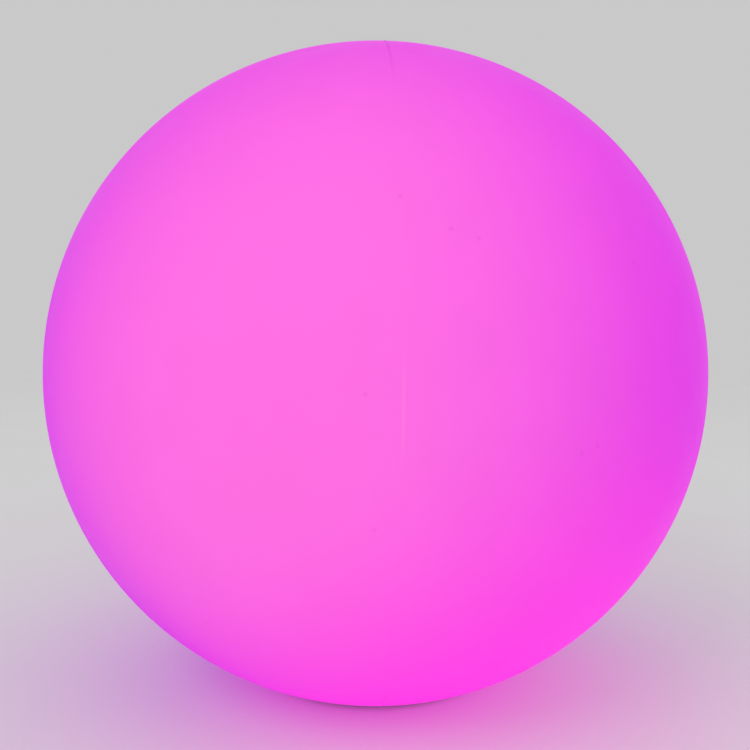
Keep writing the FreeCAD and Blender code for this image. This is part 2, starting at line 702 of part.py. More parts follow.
def base_housing():
    """The base's tube and flange: threaded outside, with a lower ledge, a deck and a top ledge inside."""
    groove_z = flange_top_z - size("gasket_groove")
    groove_in = gasket_inner - size("gasket_clearance")
    groove_out = gasket_inner + size("gasket_width") + size("gasket_clearance")
    skirt_in = flange_radius - size("skirt_wall")
    body = turned_piece(
        "base_housing",
        [
            (bore_radius, underside_z),
            (housing_radius, underside_z),
            (housing_radius, flange_under_z),
            (skirt_in, flange_under_z),
            (skirt_in, underside_z),
            (flange_radius, underside_z),
            (flange_radius, flange_top_z),
            (groove_out, flange_top_z),
            (groove_out, groove_z),
            (groove_in, groove_z),
            (groove_in, flange_top_z),
            (housing_radius, flange_top_z),
            (housing_radius, housing_top_z),
            (bore_radius, housing_top_z),
            (bore_radius, plate_z),
            (top_ledge_radius, plate_z),
            (top_ledge_radius, top_ledge_z),
            (bore_radius, top_ledge_z),
            (bore_radius, deck_top_z),
            (0, deck_top_z),
            (0, deck_z),
            (bore_radius, deck_z),
            (bore_radius, ledge_top_z),
            (ledge_radius, ledge_top_z),
            (ledge_radius, ledge_z),
            (bore_radius, ledge_z),
        ],
    )
    start_z = seat_z + size("thread_lead") + size("thread_pitch") / 2
    thread(body, "base_thread", housing_radius, housing_radius + size("thread_depth"), start_z)
    skirt_height = flange_under_z - underside_z
    studs(body, "foot_boss", foot_boss_radius, underside_z, skirt_height, foot_circle, size("foot_count"))
    socket_radius = size("foot_radius") + size("foot_fit")
    drill(body, "foot_socket", socket_radius, underside_z, size("foot_seat"), foot_circle, size("foot_count"))
    ribs = new_sketch(body, "grip_rib_outline", "XY_Plane", underside_z + size("rib_setback"))
    rib_turn = half_step("rib_count")
    half = size("rib_wall") / 2
    inner_x, inner_y = polar(housing_radius - half, rib_turn)
    outer_x, outer_y = polar(skirt_in + half, rib_turn)
    side_x, side_y = polar(half, rib_turn + 90)
    outline(
        ribs,
        [
            (inner_x - side_x, inner_y - side_y),
            (outer_x - side_x, outer_y - side_y),
            (outer_x + side_x, outer_y + side_y),
            (inner_x + side_x, inner_y + side_y),
        ],
    )
    rib = extrude(body, "grip_rib", ribs, skirt_height - size("rib_setback"))
    ring_pattern(body, "grip_ribs", [rib], size("rib_count"))
    base_screw_bosses(body)
    base_board_posts(body)
    battery_left = battery_row_x - size("wire_pitch") / 2
    lead_slot(body, "deck_slot", deck_z, size("deck_thickness"), battery_left)
    strap_hole = size("screw_radius") + size("screw_fit")
    for side, name in ((1, "rear"), (-1, "front")):
        reach = strap_screw_y * side
        drill(body, f"{name}_strap_hole", strap_hole, deck_z, size("deck_thickness"), 0, y=reach)
    return body


def base_screw_bosses(body):
    """Blind bosses above the lower ledge and below the top ledge, each webbed to the tube."""
    count = size("cover_screw_count")
    hole = size("screw_radius") + size("screw_fit")
    reach = cover_screw_circle
    height = size("cover_boss_height")
    web = new_sketch(body, "cover_boss_outline", "XY_Plane", ledge_top_z)
    rectangle(web, reach, bore_radius + size("housing_wall") / 2, -boss_radius, boss_radius)
    web_pad = extrude(body, "cover_boss_web", web, height)
    ring_pattern(body, "cover_boss_webs", [web_pad], count)
    studs(body, "cover_boss", boss_radius, ledge_top_z, height, reach, count)
    depth = height + size("ledge_thickness") - size("screw_blind")
    drill(body, "cover_boss_hole", hole, ledge_z, depth, reach, count)
    count = size("clamp_count")
    reach = clamp_circle
    height = size("clamp_boss_height")
    web = new_sketch(body, "clamp_boss_outline", "XY_Plane", top_ledge_z - height)
    rectangle(web, reach, bore_radius + size("housing_wall") / 2, -boss_radius, boss_radius)
    web_pad = extrude(body, "clamp_boss_web", web, height)
    ring_pattern(body, "clamp_boss_webs", [web_pad], count)
    studs(body, "clamp_boss", boss_radius, top_ledge_z - height, height, reach, count)
    depth = height + size("top_ledge_thickness") - size("screw_blind")
    drill(body, "clamp_boss_hole", hole, plate_z - depth, depth, reach, count)


def base_board_posts(body):
    """Four posts that hang the control board from the deck."""
    count, height = Size.of(4), deck_z - board_top_z
    hole = size("small_screw_radius") + size("screw_fit")
    reach = size("post_reach")
    studs(body, "board_post", post_radius, board_top_z, height, reach, count, y=reach)
    drill(body, "board_post_hole", hole, board_top_z, height, reach, count, y=reach)


def lead_slot(body, name, low, height, left):
    """A slot for the row of leads, from left to just past the row's right end."""
    margin = size("slot_margin") + size("wire_radius")
    right = lamp_row_x + lamp_row_half + margin
    sketch = new_sketch(body, f"{name}_outline", "XY_Plane", low)
    rectangle(sketch, left - margin, right, size("lead_row") - margin, size("lead_row") + margin)
    return cut(body, name, sketch, height)


def rubber_feet():
    """Round rubber feet, pressed into the flange's sockets."""
    top_z = underside_z + size("foot_seat")
    edge = size("foot_edge")
    body = new_body("rubber_feet")
    profile = new_sketch(body, "foot_profile")
    outline(
        profile,
        [
            (foot_circle, 0),
            (foot_circle + size("foot_radius") - edge, 0),
            (foot_circle + size("foot_radius"), edge),
            (foot_circle + size("foot_radius"), top_z),
            (foot_circle, top_z),
        ],
    )
    upright_axis(profile, foot_circle)
    foot = revolve(body, "foot", profile, "Axis0")
    ring_pattern(body, "feet", [foot], size("foot_count"))
    return body


def bottom_cover():
    """The round service cover, open for its screws, the jack, the button, the lens and the vent."""
    thick, fit = size("cover_thickness"), size("screw_fit")
    body = turned_piece("bottom_cover", disc_corners(cover_radius, underside_z, cover_top_z))
    pad = new_sketch(body, "pin_pad_outline", "XY_Plane", cover_top_z)
    pad_half_x = size("flap_barrel") + size("flap_gap") * 4
    pad_half_y = flap_pin_length / 2 + size("flap_land")
    rectangle(pad, flap_pivot_x - pad_half_x, flap_pivot_x + pad_half_x, -pad_half_y, pad_half_y)
    extrude(body, "pin_pad", pad, size("flap_barrel"))
    button_hole = size("button_radius") + size("button_fit")
    drill(body, "button_hole", button_hole, underside_z, thick, button_reach)
    jack_hole = size("jack_barrel") + size("cover_fit") / 2
    drill(body, "jack_hole", jack_hole, underside_z, thick, -jack_reach)
    drill(body, "lens_hole", size("lens_radius") + fit, underside_z, thick, 0, y=-lens_reach)
    drill(body, "vent_hole", size("vent_stem") + fit, underside_z, thick, 0, y=vent_reach)
    vent_seat = size("vent_head") + size("flap_gap")
    drill(body, "vent_recess", vent_seat, underside_z, size("flap_thickness"), 0, y=vent_reach)
    flap_recess(body)
    reach, count = cover_screw_circle, size("cover_screw_count")
    clear = size("screw_radius") + size("screw_clearance")
    drill(body, "screw_hole", clear, underside_z, thick, reach, count)
    head = size("screw_head_radius") + size("screw_clearance")
    drill(body, "head_recess", head, underside_z, size("screw_head_height") + size("head_sink"), reach, count)
    return body


def flap_recess(body):
    """The pocket that the flap lies in, its barrel's deeper pit, and the bore and slot for its pin."""
    gap, half = size("flap_gap"), flap_recess_half
    recess = new_sketch(body, "flap_recess_outline", "XY_Plane", underside_z)
    rectangle(recess, flap_pivot_x, flap_end_x + gap, -half, half)
    cut(body, "flap_recess", recess, size("flap_thickness") + gap)
    pit = new_sketch(body, "barrel_pit_outline", "XY_Plane", underside_z)
    pit_half = size("flap_barrel") + gap
    rectangle(pit, flap_pivot_x - pit_half - gap * 2, flap_pivot_x + pit_half, -half, half)
    cut(body, "barrel_pit", pit, size("flap_barrel") * 2 + gap * 1.5)
    pin = new_sketch(body, "pin_bore_outline")
    circle(pin, flap_pivot_x, flap_pivot_z, size("flap_pin") + size("screw_fit"))
    extrude(body, "pin_bore", pin, flap_pin_length, both=True, kind="PartDesign::Pocket")
    slot = new_sketch(body, "pin_slot_outline", "XY_Plane", underside_z)
    across, along = size("flap_pin_slot") / 2, flap_pin_length / 2
    rectangle(slot, flap_pivot_x - across, flap_pivot_x + across, -along, along)
    cut(body, "pin_slot", slot, flap_pivot_z - underside_z)


def cover_gasket():
    """The flat gasket between the cover and the lower ledge, with a hole for each screw."""
    corners = tube_corners(ledge_radius, cover_radius, cover_top_z, ledge_z)
    body = turned_piece("cover_gasket", corners)
    hole = size("screw_radius") + size("screw_clearance")
    reach, count = cover_screw_circle, size("cover_screw_count")
    drill(body, "gasket_hole", hole, cover_top_z, size("cover_gasket"), reach, count)
    return body


def half_step(count_name):
    """Half of one step of a ring of so many."""
    return Size.of(180) / size(count_name)


def port_flap():
    """The hinged flap over the charging jack, with a soft plug that enters the jack's mouth."""
    body = new_body("port_flap")
    width = size("flap_width")
    low_z = underside_z + size("flap_gap") / 3
    top_z = low_z + size("flap_thickness")
    plate = new_sketch(body, "flap_side")
    rectangle(plate, 0, flap_end_x - flap_pivot_x, low_z - flap_pivot_z, top_z - flap_pivot_z)
    extrude(body, "flap_plate", plate, width, both=True)
    barrel = new_sketch(body, "barrel_side")
    circle(barrel, 0, 0, size("flap_barrel"))
    extrude(body, "flap_barrel_pad", barrel, width, both=True)
    plug = new_sketch(body, "plug_outline", "XY_Plane", top_z - flap_pivot_z)
    circle(plug, size("flap_reach"), 0, size("flap_plug"))
    extrude(body, "flap_plug_pad", plug, size("flap_plug_height"))
    bore = new_sketch(body, "barrel_bore_outline")
    circle(bore, 0, 0, size("flap_pin") + size("screw_fit"))
    extrude(body, "barrel_bore", bore, width * 1.5, both=True, kind="PartDesign::Pocket")
    return move(body, x=flap_pivot_x, z=flap_pivot_z)


def flap_pin():
    """The steel pin that the flap swings on."""
    body = new_body("flap_pin")
    section = new_sketch(body, "flap_pin_section")
    circle(section, 0, 0, size("flap_pin"))
    extrude(body, "flap_pin_pad", section, flap_pin_length - size("flap_gap"), both=True)
    return move(body, x=flap_pivot_x, z=flap_pivot_z)


def charging_jack():
    """The barrel jack on the control board, with its bore and centre pin facing down."""
    body = new_body("charging_jack")
    block(body, "jack_block", size("jack_body"), size("jack_body"), jack_body_z, size("jack_body_height"))
    barrel = new_sketch(body, "jack_barrel_outline", "XY_Plane", jack_face_z)
    circle(barrel, 0, 0, size("jack_barrel"))
    extrude(body, "jack_barrel_pad", barrel, jack_body_z - jack_face_z)
    bore = new_sketch(body, "jack_bore_outline", "XY_Plane", jack_face_z)
    circle(bore, 0, 0, size("jack_bore"))
    cut(body, "jack_bore_cut", bore, size("jack_bore_depth"))
    pin = new_sketch(body, "jack_pin_outline", "XY_Plane", jack_face_z + size("jack_pin_setback"))
    circle(pin, 0, 0, size("jack_pin"))
    extrude(body, "jack_pin_pad", pin, size("jack_bore_depth") - size("jack_pin_setback"))
    return move(body, x=-jack_reach)


def jack_gasket():
    """The ring that seals the jack's shoulder on the cover."""
    inner = size("jack_barrel") + size("screw_fit")
    body = turned_piece("jack_gasket", tube_corners(inner, size("jack_body") / 2, cover_top_z, jack_body_z))
    return move(body, x=-jack_reach)


def power_button():
    """The push button: a dished cap, a groove for its sealing ring, a lip and a stem up to the switch."""
    radius = size("button_radius")
    face_z = underside_z - size("button_proud")
    dish_z = face_z + size("button_proud") / 2
    edge = size("button_proud") / 2
    groove_half = size("button_ring") + size("button_gap") / 2
    groove_z = underside_z + size("cover_thickness") / 2
    lip_z = cover_top_z + size("button_gap")
    lip_top_z = lip_z + size("button_lip")
    body = turned_piece(
        "power_button",
        [
            (0, dish_z, "arc"),
            (radius - edge * 2, face_z),
            (radius - edge, face_z),
            (radius, face_z + edge),
            (radius, groove_z - groove_half),
            (button_groove_radius, groove_z - groove_half),
            (button_groove_radius, groove_z + groove_half),
            (radius, groove_z + groove_half),
            (radius, lip_z),
            (radius + size("button_lip_reach"), lip_z),
            (radius + size("button_lip_reach"), lip_top_z),
            (size("button_stem"), lip_top_z),
            (size("button_stem"), plunger_z),
            (0, plunger_z),
        ],
    )
    return move(body, x=button_reach)


def button_ring():
    """The sealing ring in the button's groove."""
    middle_z = underside_z + size("cover_thickness") / 2
    body = new_body("button_ring")
    profile = new_sketch(body, "button_ring_section")
    circle(profile, button_groove_radius + size("button_ring"), middle_z, size("button_ring"))
    revolve(body, "button_ring_turned", profile)
    return move(body, x=button_reach)


def switch_plunger():
    """The switch's plunger, pushed by the button's stem."""
    corners = disc_corners(size("plunger_radius"), plunger_z, switch_z + size("button_travel"))
    return move(turned_piece("switch_plunger", corners), x=button_reach)


def push_switch():
    """The switch body on the control board."""
    body = new_body("push_switch")
    block(body, "switch_block", size("switch_body"), size("switch_body"), switch_z, size("switch_height"))
    bore = new_sketch(body, "plunger_bore_outline", "XY_Plane", switch_z)
    circle(bore, 0, 0, size("plunger_radius") + size("plunger_fit"))
    cut(body, "plunger_bore", bore, size("button_travel") * 2 + size("flap_gap"))
    return move(body, x=button_reach)


def status_lens():
    """The clear light pipe that shows the charging light on the underside."""
    collar_z = cover_top_z + size("lens_radius") / 2
    collar_radius = size("lens_radius") * 1.6
    top_z = status_lamp_z - size("button_gap")
    body = turned_piece(
        "status_lens",
        [
            (0, underside_z),
            (size("lens_radius"), underside_z),
            (size("lens_radius"), cover_top_z),
            (collar_radius, cover_top_z),
            (collar_radius, collar_z),
            (size("lens_radius"), collar_z),
            (size("lens_radius"), top_z),
            (0, top_z),
        ],
    )
    return move(body, y=-lens_reach)


def status_lamp():
    """The small charging light under the control board."""
    body = new_body("status_lamp")
    width, depth = size("lens_radius") * 2, size("lens_radius") * 1.6
    block(body, "status_lamp_block", width, depth, status_lamp_z, status_lamp_height)
    return move(body, y=-lens_reach)


def breather_vent():
    """The snap-in vent that lets the sealed base breathe."""
    head_z = underside_z + size("flap_gap") / 2
    seat = underside_z + size("flap_thickness")
    hook_z = cover_top_z + size("flap_gap") / 2
    body = turned_piece(
        "breather_vent",
        [
            (0, head_z),
            (size("vent_head") - size("vent_edge"), head_z),
            (size("vent_head"), head_z + size("vent_edge")),
            (size("vent_head"), seat),
            (size("vent_stem"), seat),
            (size("vent_stem"), hook_z),
            (size("vent_stem") + size("vent_barb"), hook_z),
            (size("vent_stem"), hook_z + size("vent_barb_height")),
            (0, hook_z + size("vent_barb_height")),
        ],
    )
    slot = new_sketch(body, "vent_slot_outline", "XY_Plane", head_z)
    half = size("vent_slot") / 2
    rectangle(slot, size("vent_head") * 0.4, size("vent_head") * 0.75, -half, half)
    slot_cut = cut(body, "vent_slot", slot, size("vent_slot_depth"))
    ring_pattern(body, "vent_slots", [slot_cut], size("vent_slot_count"))
    return move(body, y=vent_reach)


def control_board():
    """The round control board, with holes for its screws."""
    body = turned_piece("control_board", disc_corners(size("board_radius"), board_z, board_top_z))
    clear = size("small_screw_radius") + size("screw_clearance")
    reach = size("post_reach")
    drill(body, "board_hole", clear, board_z, size("board_thickness"), reach, Size.of(4), y=reach)
    return body


def chips(label, places, width, depth, height):
    """Flat packages under the control board."""
    body = new_body(label)
    sketch = new_sketch(body, f"{label}_outline", "XY_Plane", board_z - height)
    for x, y in places:
        rectangle(sketch, x - width / 2, x + width / 2, y - depth / 2, y + depth / 2)
    extrude(body, f"{label}_blocks", sketch, height)
    return body


def controller_chip():
    """The chip that runs the light, in the middle of the control board."""
    side, middle = size("chip_side"), Size.of(0)
    return chips("controller_chip", [(middle, middle)], side, side, size("chip_height"))


def lamp_drivers():
    """A row of driver transistors, one for each colour of the emitters."""
    places = [(size("driver_pitch") * step, size("driver_row")) for step in (-1.5, -0.5, 0.5, 1.5)]
    return chips("lamp_drivers", places, size("driver_width"), size("driver_depth"), size("driver_height"))


def charge_coil():
    """The square coil of the charging circuit."""
    side = size("coil_side")
    return chips("charge_coil", [(-size("coil_left"), -size("coil_ahead"))], side, side, size("coil_height"))


def radio_module():
    """The shielded module that receives the remote control's signal."""
    place = (size("radio_right"), size("radio_behind"))
    return chips("radio_module", [place], size("radio_width"), size("radio_depth"), size("radio_height"))


def filter_capacitors():
    """Three round capacitors in a slanting row."""
    height = size("capacitor_height")
    body = new_body("filter_capacitors")
    sketch = new_sketch(body, "capacitor_outline", "XY_Plane", board_z - height)
    for step in range(3):
        x = size("capacitor_right") + size("capacitor_step") * step
        y = size("capacitor_back") * step - size("capacitor_ahead")
        circle(sketch, x, y, size("capacitor_radius"))
    extrude(body, "capacitor_cans", sketch, height)
    return body


def wire_socket(label, row_x, row_half):
    """A wire socket on top of the control board, under the deck's slot."""
    body = new_body(label)
    width, depth = (row_half + socket_pad) * 2, size("wire_radius") * 7
    height = socket_top_z - board_top_z
    block(body, f"{label}_block", width, depth, board_top_z, height, row_x, size("lead_row"))
    return body


def battery_tray():
    """The open tray that cradles two cells side by side, with an ear on each long side."""
    wall = size("tray_wall")
    rise_z = deck_top_z + size("tray_floor") + size("tray_cradle")
    body = new_body("battery_tray")
    width, depth = (tray_inner_x + wall) * 2, (tray_inner_y + wall) * 2
    block(body, "tray_block", width, depth, deck_top_z, tray_top_z - deck_top_z)
    hollow = new_sketch(body, "tray_hollow_outline", "XY_Plane", rise_z)
    rectangle(hollow, -tray_inner_x, tray_inner_x, -tray_inner_y, tray_inner_y)
    cut(body, "tray_hollow", hollow, tray_top_z - rise_z)
    for side, name in ((1, "rear"), (-1, "front")):
        cradle = new_sketch(body, f"{name}_cradle_outline", "YZ_Plane")
        circle(cradle, cell_y * side, cell_z, size("cell_radius") + size("cell_fit"))
        extrude(body, f"{name}_cradle", cradle, tray_inner_x * 2, both=True, kind="PartDesign::Pocket")
    ear_out = strap_screw_y + size("strap_foot") / 2
    block(body, "tray_ears", size("strap_width"), ear_out * 2, deck_top_z, size("tray_floor"))
    clear = size("screw_radius") + size("screw_fit")
    for side, name in ((1, "rear"), (-1, "front")):
        drill(body, f"{name}_ear_hole", clear, deck_top_z, size("tray_floor"), 0, y=strap_screw_y * side)
    return body


def battery_cell(label, side):
    """One round cell, lying along X, with its button terminal at one end."""
    body = new_body(label)
    profile = new_sketch(body, f"{label}_profile", "XY_Plane")
    radius, nub = size("cell_radius"), size("link_thickness")
    outline(
        profile,
        [
            (-cell_end, 0),
            (-cell_end, radius - nub),
            (-cell_end + nub, radius),
            (cell_end - nub, radius),
            (cell_end, radius - nub),
            (cell_end, 0),
        ],
    )
    revolve(body, f"{label}_can", profile, "H_Axis")
    return move(body, y=cell_y * side, z=cell_z)


def cell_links():
    """Nickel strips: one joins the cells at the right, and two end in tabs for the leads at the left."""
    body = new_body("cell_links")
    half, thick = size("link_width") / 2, size("link_thickness")
    top = link_top_z - cell_z
    low = -size("cell_radius") / 2
    right = new_sketch(body, "right_link_outline", "YZ_Plane", cell_end)
    rectangle(right, -cell_y - half, cell_y + half, cell_z - half, cell_z + half)
    extrude(body, "right_link", right, thick)
    for side, name in ((1, "rear"), (-1, "front")):
        left = new_sketch(body, f"{name}_link_outline", "YZ_Plane", -cell_end - thick)
        rectangle(left, cell_y * side - half, cell_y * side + half, cell_z + low, cell_z + top)
        extrude(body, f"{name}_link", left, thick)
    return body


def battery_strap():
    """The spring-steel strap over both cells, screwed down with the tray's ears."""
    thick = size("strap_thickness")
    out_y = tray_inner_y + size("tray_wall") + thick
    in_y = out_y - thick
    foot_y = out_y + size("strap_foot")
    foot_z = deck_top_z + size("tray_floor")
    crown_z = cell_z + size("cell_radius")
    body = new_body("battery_strap")
    hat = new_sketch(body, "strap_side", "YZ_Plane")
    outline(
        hat,
        [
            (-foot_y, foot_z),
            (-in_y, foot_z),
            (-in_y, crown_z),
            (in_y, crown_z),
            (in_y, foot_z),
            (foot_y, foot_z),
            (foot_y, foot_z + thick),
            (out_y, foot_z + thick),
            (out_y, crown_z + thick),
            (-out_y, crown_z + thick),
            (-out_y, foot_z + thick),
            (-foot_y, foot_z + thick),
        ],
    )
    extrude(body, "strap_band", hat, size("strap_width"), both=True)
    clear = size("screw_radius") + size("screw_fit")
    for side, name in ((1, "rear"), (-1, "front")):
        drill(body, f"{name}_strap_foot_hole", clear, foot_z, thick, 0, y=strap_screw_y * side)
    return body


# ---------------------------------------------------------------- lamp head


def plate_holes(body, low, height):
    """Clearance holes for the clamp screws, on pieces that are turned half a step with them."""
    clear = size("screw_radius") + size("screw_clearance")
    drill(body, f"{body.Label}_hole", clear, low, height, clamp_circle, size("clamp_count"))


def lamp_screw_holes(body, radius, low, height):
    """The ring of holes for the lamp board's screws, which stand between emitters."""
    sketch = new_sketch(body, f"{body.Label}_screw_outline", "XY_Plane", low)
    x, y = polar(lamp_screw_circle, size("lamp_screw_turn"))
    circle(sketch, x, y, radius)
    hole = cut(body, f"{body.Label}_screw_hole", sketch, height)
    ring_pattern(body, f"{body.Label}_screw_holes", [hole], size("lamp_screw_count"))


def heat_plate():
    """The aluminium plate that closes the housing and carries the lamp board."""
    radius = bore_radius - size("plate_fit")
    body = turned_piece("heat_plate", disc_corners(radius, plate_z, housing_top_z))
    plate_holes(body, plate_z, size("plate_thickness"))
    hole = size("small_screw_radius") + size("screw_fit")
    lamp_screw_holes(body, hole, plate_z, size("plate_thickness"))
    lead_slot(body, "plate_slot", plate_z, size("plate_thickness"), lamp_row_x - lamp_row_half)
    return body


def lamp_board():
    """The round board that carries the emitters."""
    body = turned_piece("lamp_board", disc_corners(lamp_board_radius, lamp_board_z, lamp_board_top_z))
    clear = size("small_screw_radius") + size("screw_clearance")
    lamp_screw_holes(body, clear, lamp_board_z, size("board_thickness"))
    lead_slot(body, "lamp_board_slot", lamp_board_z, size("board_thickness"), lamp_row_x - lamp_row_half)
    return body


def lamp_emitters():
    """A ring of square emitter packages, each with a domed lens."""
    reach, side, radius = size("emitter_circle"), size("emitter_side"), size("emitter_lens")
    body = new_body("lamp_emitters")
    package = block(body, "package", side, side, lamp_board_top_z, size("emitter_height"), reach)
    lens = new_sketch(body, "lens_profile")
    quarter_disc(lens, reach, lamp_board_top_z + size("emitter_height"), radius)
    upright_axis(lens, reach)
    dome = revolve(body, "lens_dome", lens, "Axis0")
    ring_pattern(body, "emitter_ring", [package, dome], size("emitter_count"))
    return move(body, turn=half_step("emitter_count"))


def quarter_disc(sketch, x, y, radius):
    """The upper right quarter of a disc, to be turned into a half ball."""
    centre = Vector(x.value, y.value, 0)
    top, side = centre + Vector(0, radius.value, 0), centre + Vector(radius.value, 0, 0)
    whole = Part.Circle(centre, Vector(0, 0, 1), radius.value)
    arc = sketch.addGeometry(Part.ArcOfCircle(whole, 0, math.pi / 2))
    down = sketch.addGeometry(Part.LineSegment(top, centre))
    across = sketch.addGeometry(Part.LineSegment(centre, side))
    sketch.addConstraint(Sketcher.Constraint("Coincident", arc, 2, down, 1))
    sketch.addConstraint(Sketcher.Constraint("Coincident", down, 2, across, 1))
    sketch.addConstraint(Sketcher.Constraint("Coincident", across, 2, arc, 1))
    sketch.addConstraint(Sketcher.Constraint("Coincident", down, 2, arc, 3))
    fix_point(sketch, arc, 3, x, y)
    fix_point(sketch, arc, 1, x + radius, y)
    fix_distance(sketch, "DistanceX", -2, arc, 2, x)


def diffuser_dome():
    """The frosted dome over the emitters, with the flange that is clamped down."""
    inner = dome_base - size("dome_wall")
    top_z = clamp_ring_z + size("dome_rise")
    body = turned_piece(
        "diffuser_dome",
        [
            (0, top_z - size("dome_wall")),
            (0, top_z, "arc"),
            (dome_base, clamp_ring_z),
            (housing_radius, clamp_ring_z),
            (housing_radius, dome_flange_z),
            (inner, dome_flange_z, "arc"),
        ],
    )
    plate_holes(body, dome_flange_z, size("dome_flange"))
    return body


def dome_seal():
    """The flat seal between the housing's rim, the heat plate and the dome's flange."""
    inner = dome_base - size("dome_wall")
    body = turned_piece("dome_seal", tube_corners(inner, housing_radius, housing_top_z, dome_flange_z))
    plate_holes(body, housing_top_z, size("dome_seal"))
    return body


def dome_clamp_ring():
    """The ring that the clamp screws press on the dome's flange."""
    inner = dome_base + size("plate_fit")
    edge = size("clamp_ring") / 3
    body = turned_piece(
        "dome_clamp_ring",
        [
            (inner, clamp_ring_z),
            (housing_radius, clamp_ring_z),
            (housing_radius, clamp_top_z - edge),
            (housing_radius - edge, clamp_top_z),
            (inner, clamp_top_z),
        ],
    )
    plate_holes(body, clamp_ring_z, size("clamp_ring"))
    return body


# ---------------------------------------------------------------- leads


def bent_wire(points, bend):
    """Straight runs joined by tangent arcs of one radius."""
    edges = []
    last = points[0]
    for before, corner, after in zip(points, points[1:], points[2:]):
        back = (before - corner).normalize()
        on = (after - corner).normalize()
        half = back.getAngle(on) / 2
        reach = bend / math.tan(half)
        middle = corner + (back + on).normalize() * (bend / math.sin(half) - bend)
        start, end = corner + back * reach, corner + on * reach
        edges.append(Part.LineSegment(last, start).toShape())
        edges.append(Part.Arc(start, middle, end).toShape())
        last = end
    edges.append(Part.LineSegment(last, points[-1]).toShape())
    return Part.Wire(edges)


def lead(points, bend):
    """One round lead along such a path."""
    path = bent_wire(points, bend)
    first = (points[1] - points[0]).normalize()
    ring = Part.Wire([Part.makeCircle(size("wire_radius").value, points[0], first)])
    pipe = Part.BRepOffsetAPI.MakePipeShell(path)
    pipe.add(ring)
    pipe.build()
    pipe.makeSolid()
    return pipe.shape()


def leads(label, routes, bend):
    feature = doc.addObject("Part::Feature", label)
    feature.Label = label
    feature.Shape = Part.makeCompound([lead(points, bend) for points in routes])
    return feature


def lamp_leads():
    """The leads that rise from their socket through both slots and hook over onto the lamp board."""
    row_y = size("lead_row").value
    bend = size("wire_radius").value * 2.4
    crest_z = lamp_board_top_z.value + bend + size("wire_radius").value
    end_y = row_y - bend * 2 - size("wire_radius").value
    count = int(size("lamp_lead_count").value)
    routes = []
    for index in range(count):
        x = lamp_row_x.value + (index - (count - 1) / 2) * size("wire_pitch").value
        routes.append(
            [
                Vector(x, row_y, socket_top_z.value),
                Vector(x, row_y, crest_z),
                Vector(x, end_y, crest_z),
                Vector(x, end_y, lamp_board_top_z.value),
            ]
        )
    return leads("lamp_leads", routes, bend)


def battery_leads():
    """The leads from the battery socket over the cells and down against the battery's two tabs."""
    bend = size("wire_radius").value * 4
    row_y = size("lead_row").value
    tab_x = -(cell_end + size("link_thickness") + size("wire_radius")).value
    top_z, end_z = link_top_z.value, (tray_top_z + size("wire_radius")).value
    routes = []
    for side, rise in ((1, bend * 2), (-1, bend * 3.5)):
        x = (battery_row_x + size("wire_pitch") / 2 * side).value
        end_y = cell_y.value * side
        routes.append(
            [
                Vector(x, row_y, socket_top_z.value),
                Vector(x, row_y, top_z + rise),
                Vector(tab_x, row_y - bend * 3, top_z + rise),
                Vector(tab_x, end_y, top_z + rise),
                Vector(tab_x, end_y, end_z),
            ]
        )
    return leads("battery_leads", routes, bend)


# ---------------------------------------------------------------- the whole light


def all_screws():
    """Every ring of screws in the base."""
    cover_seat = underside_z + size("screw_head_height") + size("head_sink")
    cover_tip = ledge_top_z + size("cover_boss_height") - size("screw_blind") * 2
    clamp_tip = top_ledge_z - size("clamp_boss_height") + size("screw_blind") * 2
    strap_seat = deck_top_z + size("tray_floor") + size("strap_thickness")
    four, eighth = Size.of(4), Size.of(45)
    cover_circle, cover_count = cover_screw_circle, size("cover_screw_count")
    clamp_count = size("clamp_count")
    return [
        screws("cover_screws", cover_circle, cover_count, cover_seat, cover_tip - cover_seat, upward=True),
        screws("board_screws", post_circle, four, board_z, deck_z - board_z, True, True, eighth),
        screws("strap_screws", strap_screw_y, Size.of(2), strap_seat, strap_seat - deck_z, turn=Size.of(90)),
        screws(
            "lamp_board_screws",
            lamp_screw_circle,
            size("lamp_screw_count"),
            lamp_board_top_z,
            size("board_thickness") + size("plate_thickness"),
            small=True,
            turn=size("lamp_screw_turn"),
        ),
        screws("clamp_screws", clamp_circle, clamp_count, clamp_top_z, clamp_top_z - clamp_tip),
    ]


def board_parts():
    """The control board and everything soldered to it."""
    return [
        control_board(),
        charging_jack(),
        push_switch(),
        status_lamp(),
        controller_chip(),
        lamp_drivers(),
        charge_coil(),
        radio_module(),
        filter_capacitors(),
        wire_socket("lamp_socket", lamp_row_x, lamp_row_half),
        wire_socket("battery_socket", battery_row_x, size("wire_pitch") / 2),
    ]


def build():
    globe = [globe_shell(), neck_collar(), neck_gasket()]
    base = [base_housing(), rubber_feet(), bottom_cover(), cover_gasket(), status_lens(), breather_vent()]
    port = [port_flap(), flap_pin(), jack_gasket()]
    button = [power_button(), button_ring(), switch_plunger()]
    battery = [battery_tray(), battery_cell("rear_cell", 1), battery_cell("front_cell", -1), cell_links()]
    head = [heat_plate(), lamp_board(), lamp_emitters(), diffuser_dome(), dome_seal(), dome_clamp_ring()]
    wires = [battery_strap(), lamp_leads(), battery_leads()]
    pieces = globe + base + port + button + board_parts() + battery + head + wires + all_screws()
    doc.recompute()
    return pieces


def check_and_export(pieces):
    failed = [item.Label for item in doc.Objects if {"Invalid", "Error"} & set(item.State)]
    if failed:
        raise RuntimeError(f"these objects failed: {failed}")
    for piece in pieces:
        if piece.Shape.isNull() or not piece.Shape.isValid() or not piece.Shape.Solids:
            raise RuntimeError(f"{piece.Label} has no valid solid")
    os.makedirs("parts", exist_ok=True)
    for piece in pieces:
        piece.Shape.exportStep(f"parts/{piece.Label}.step")


check_and_export(build())
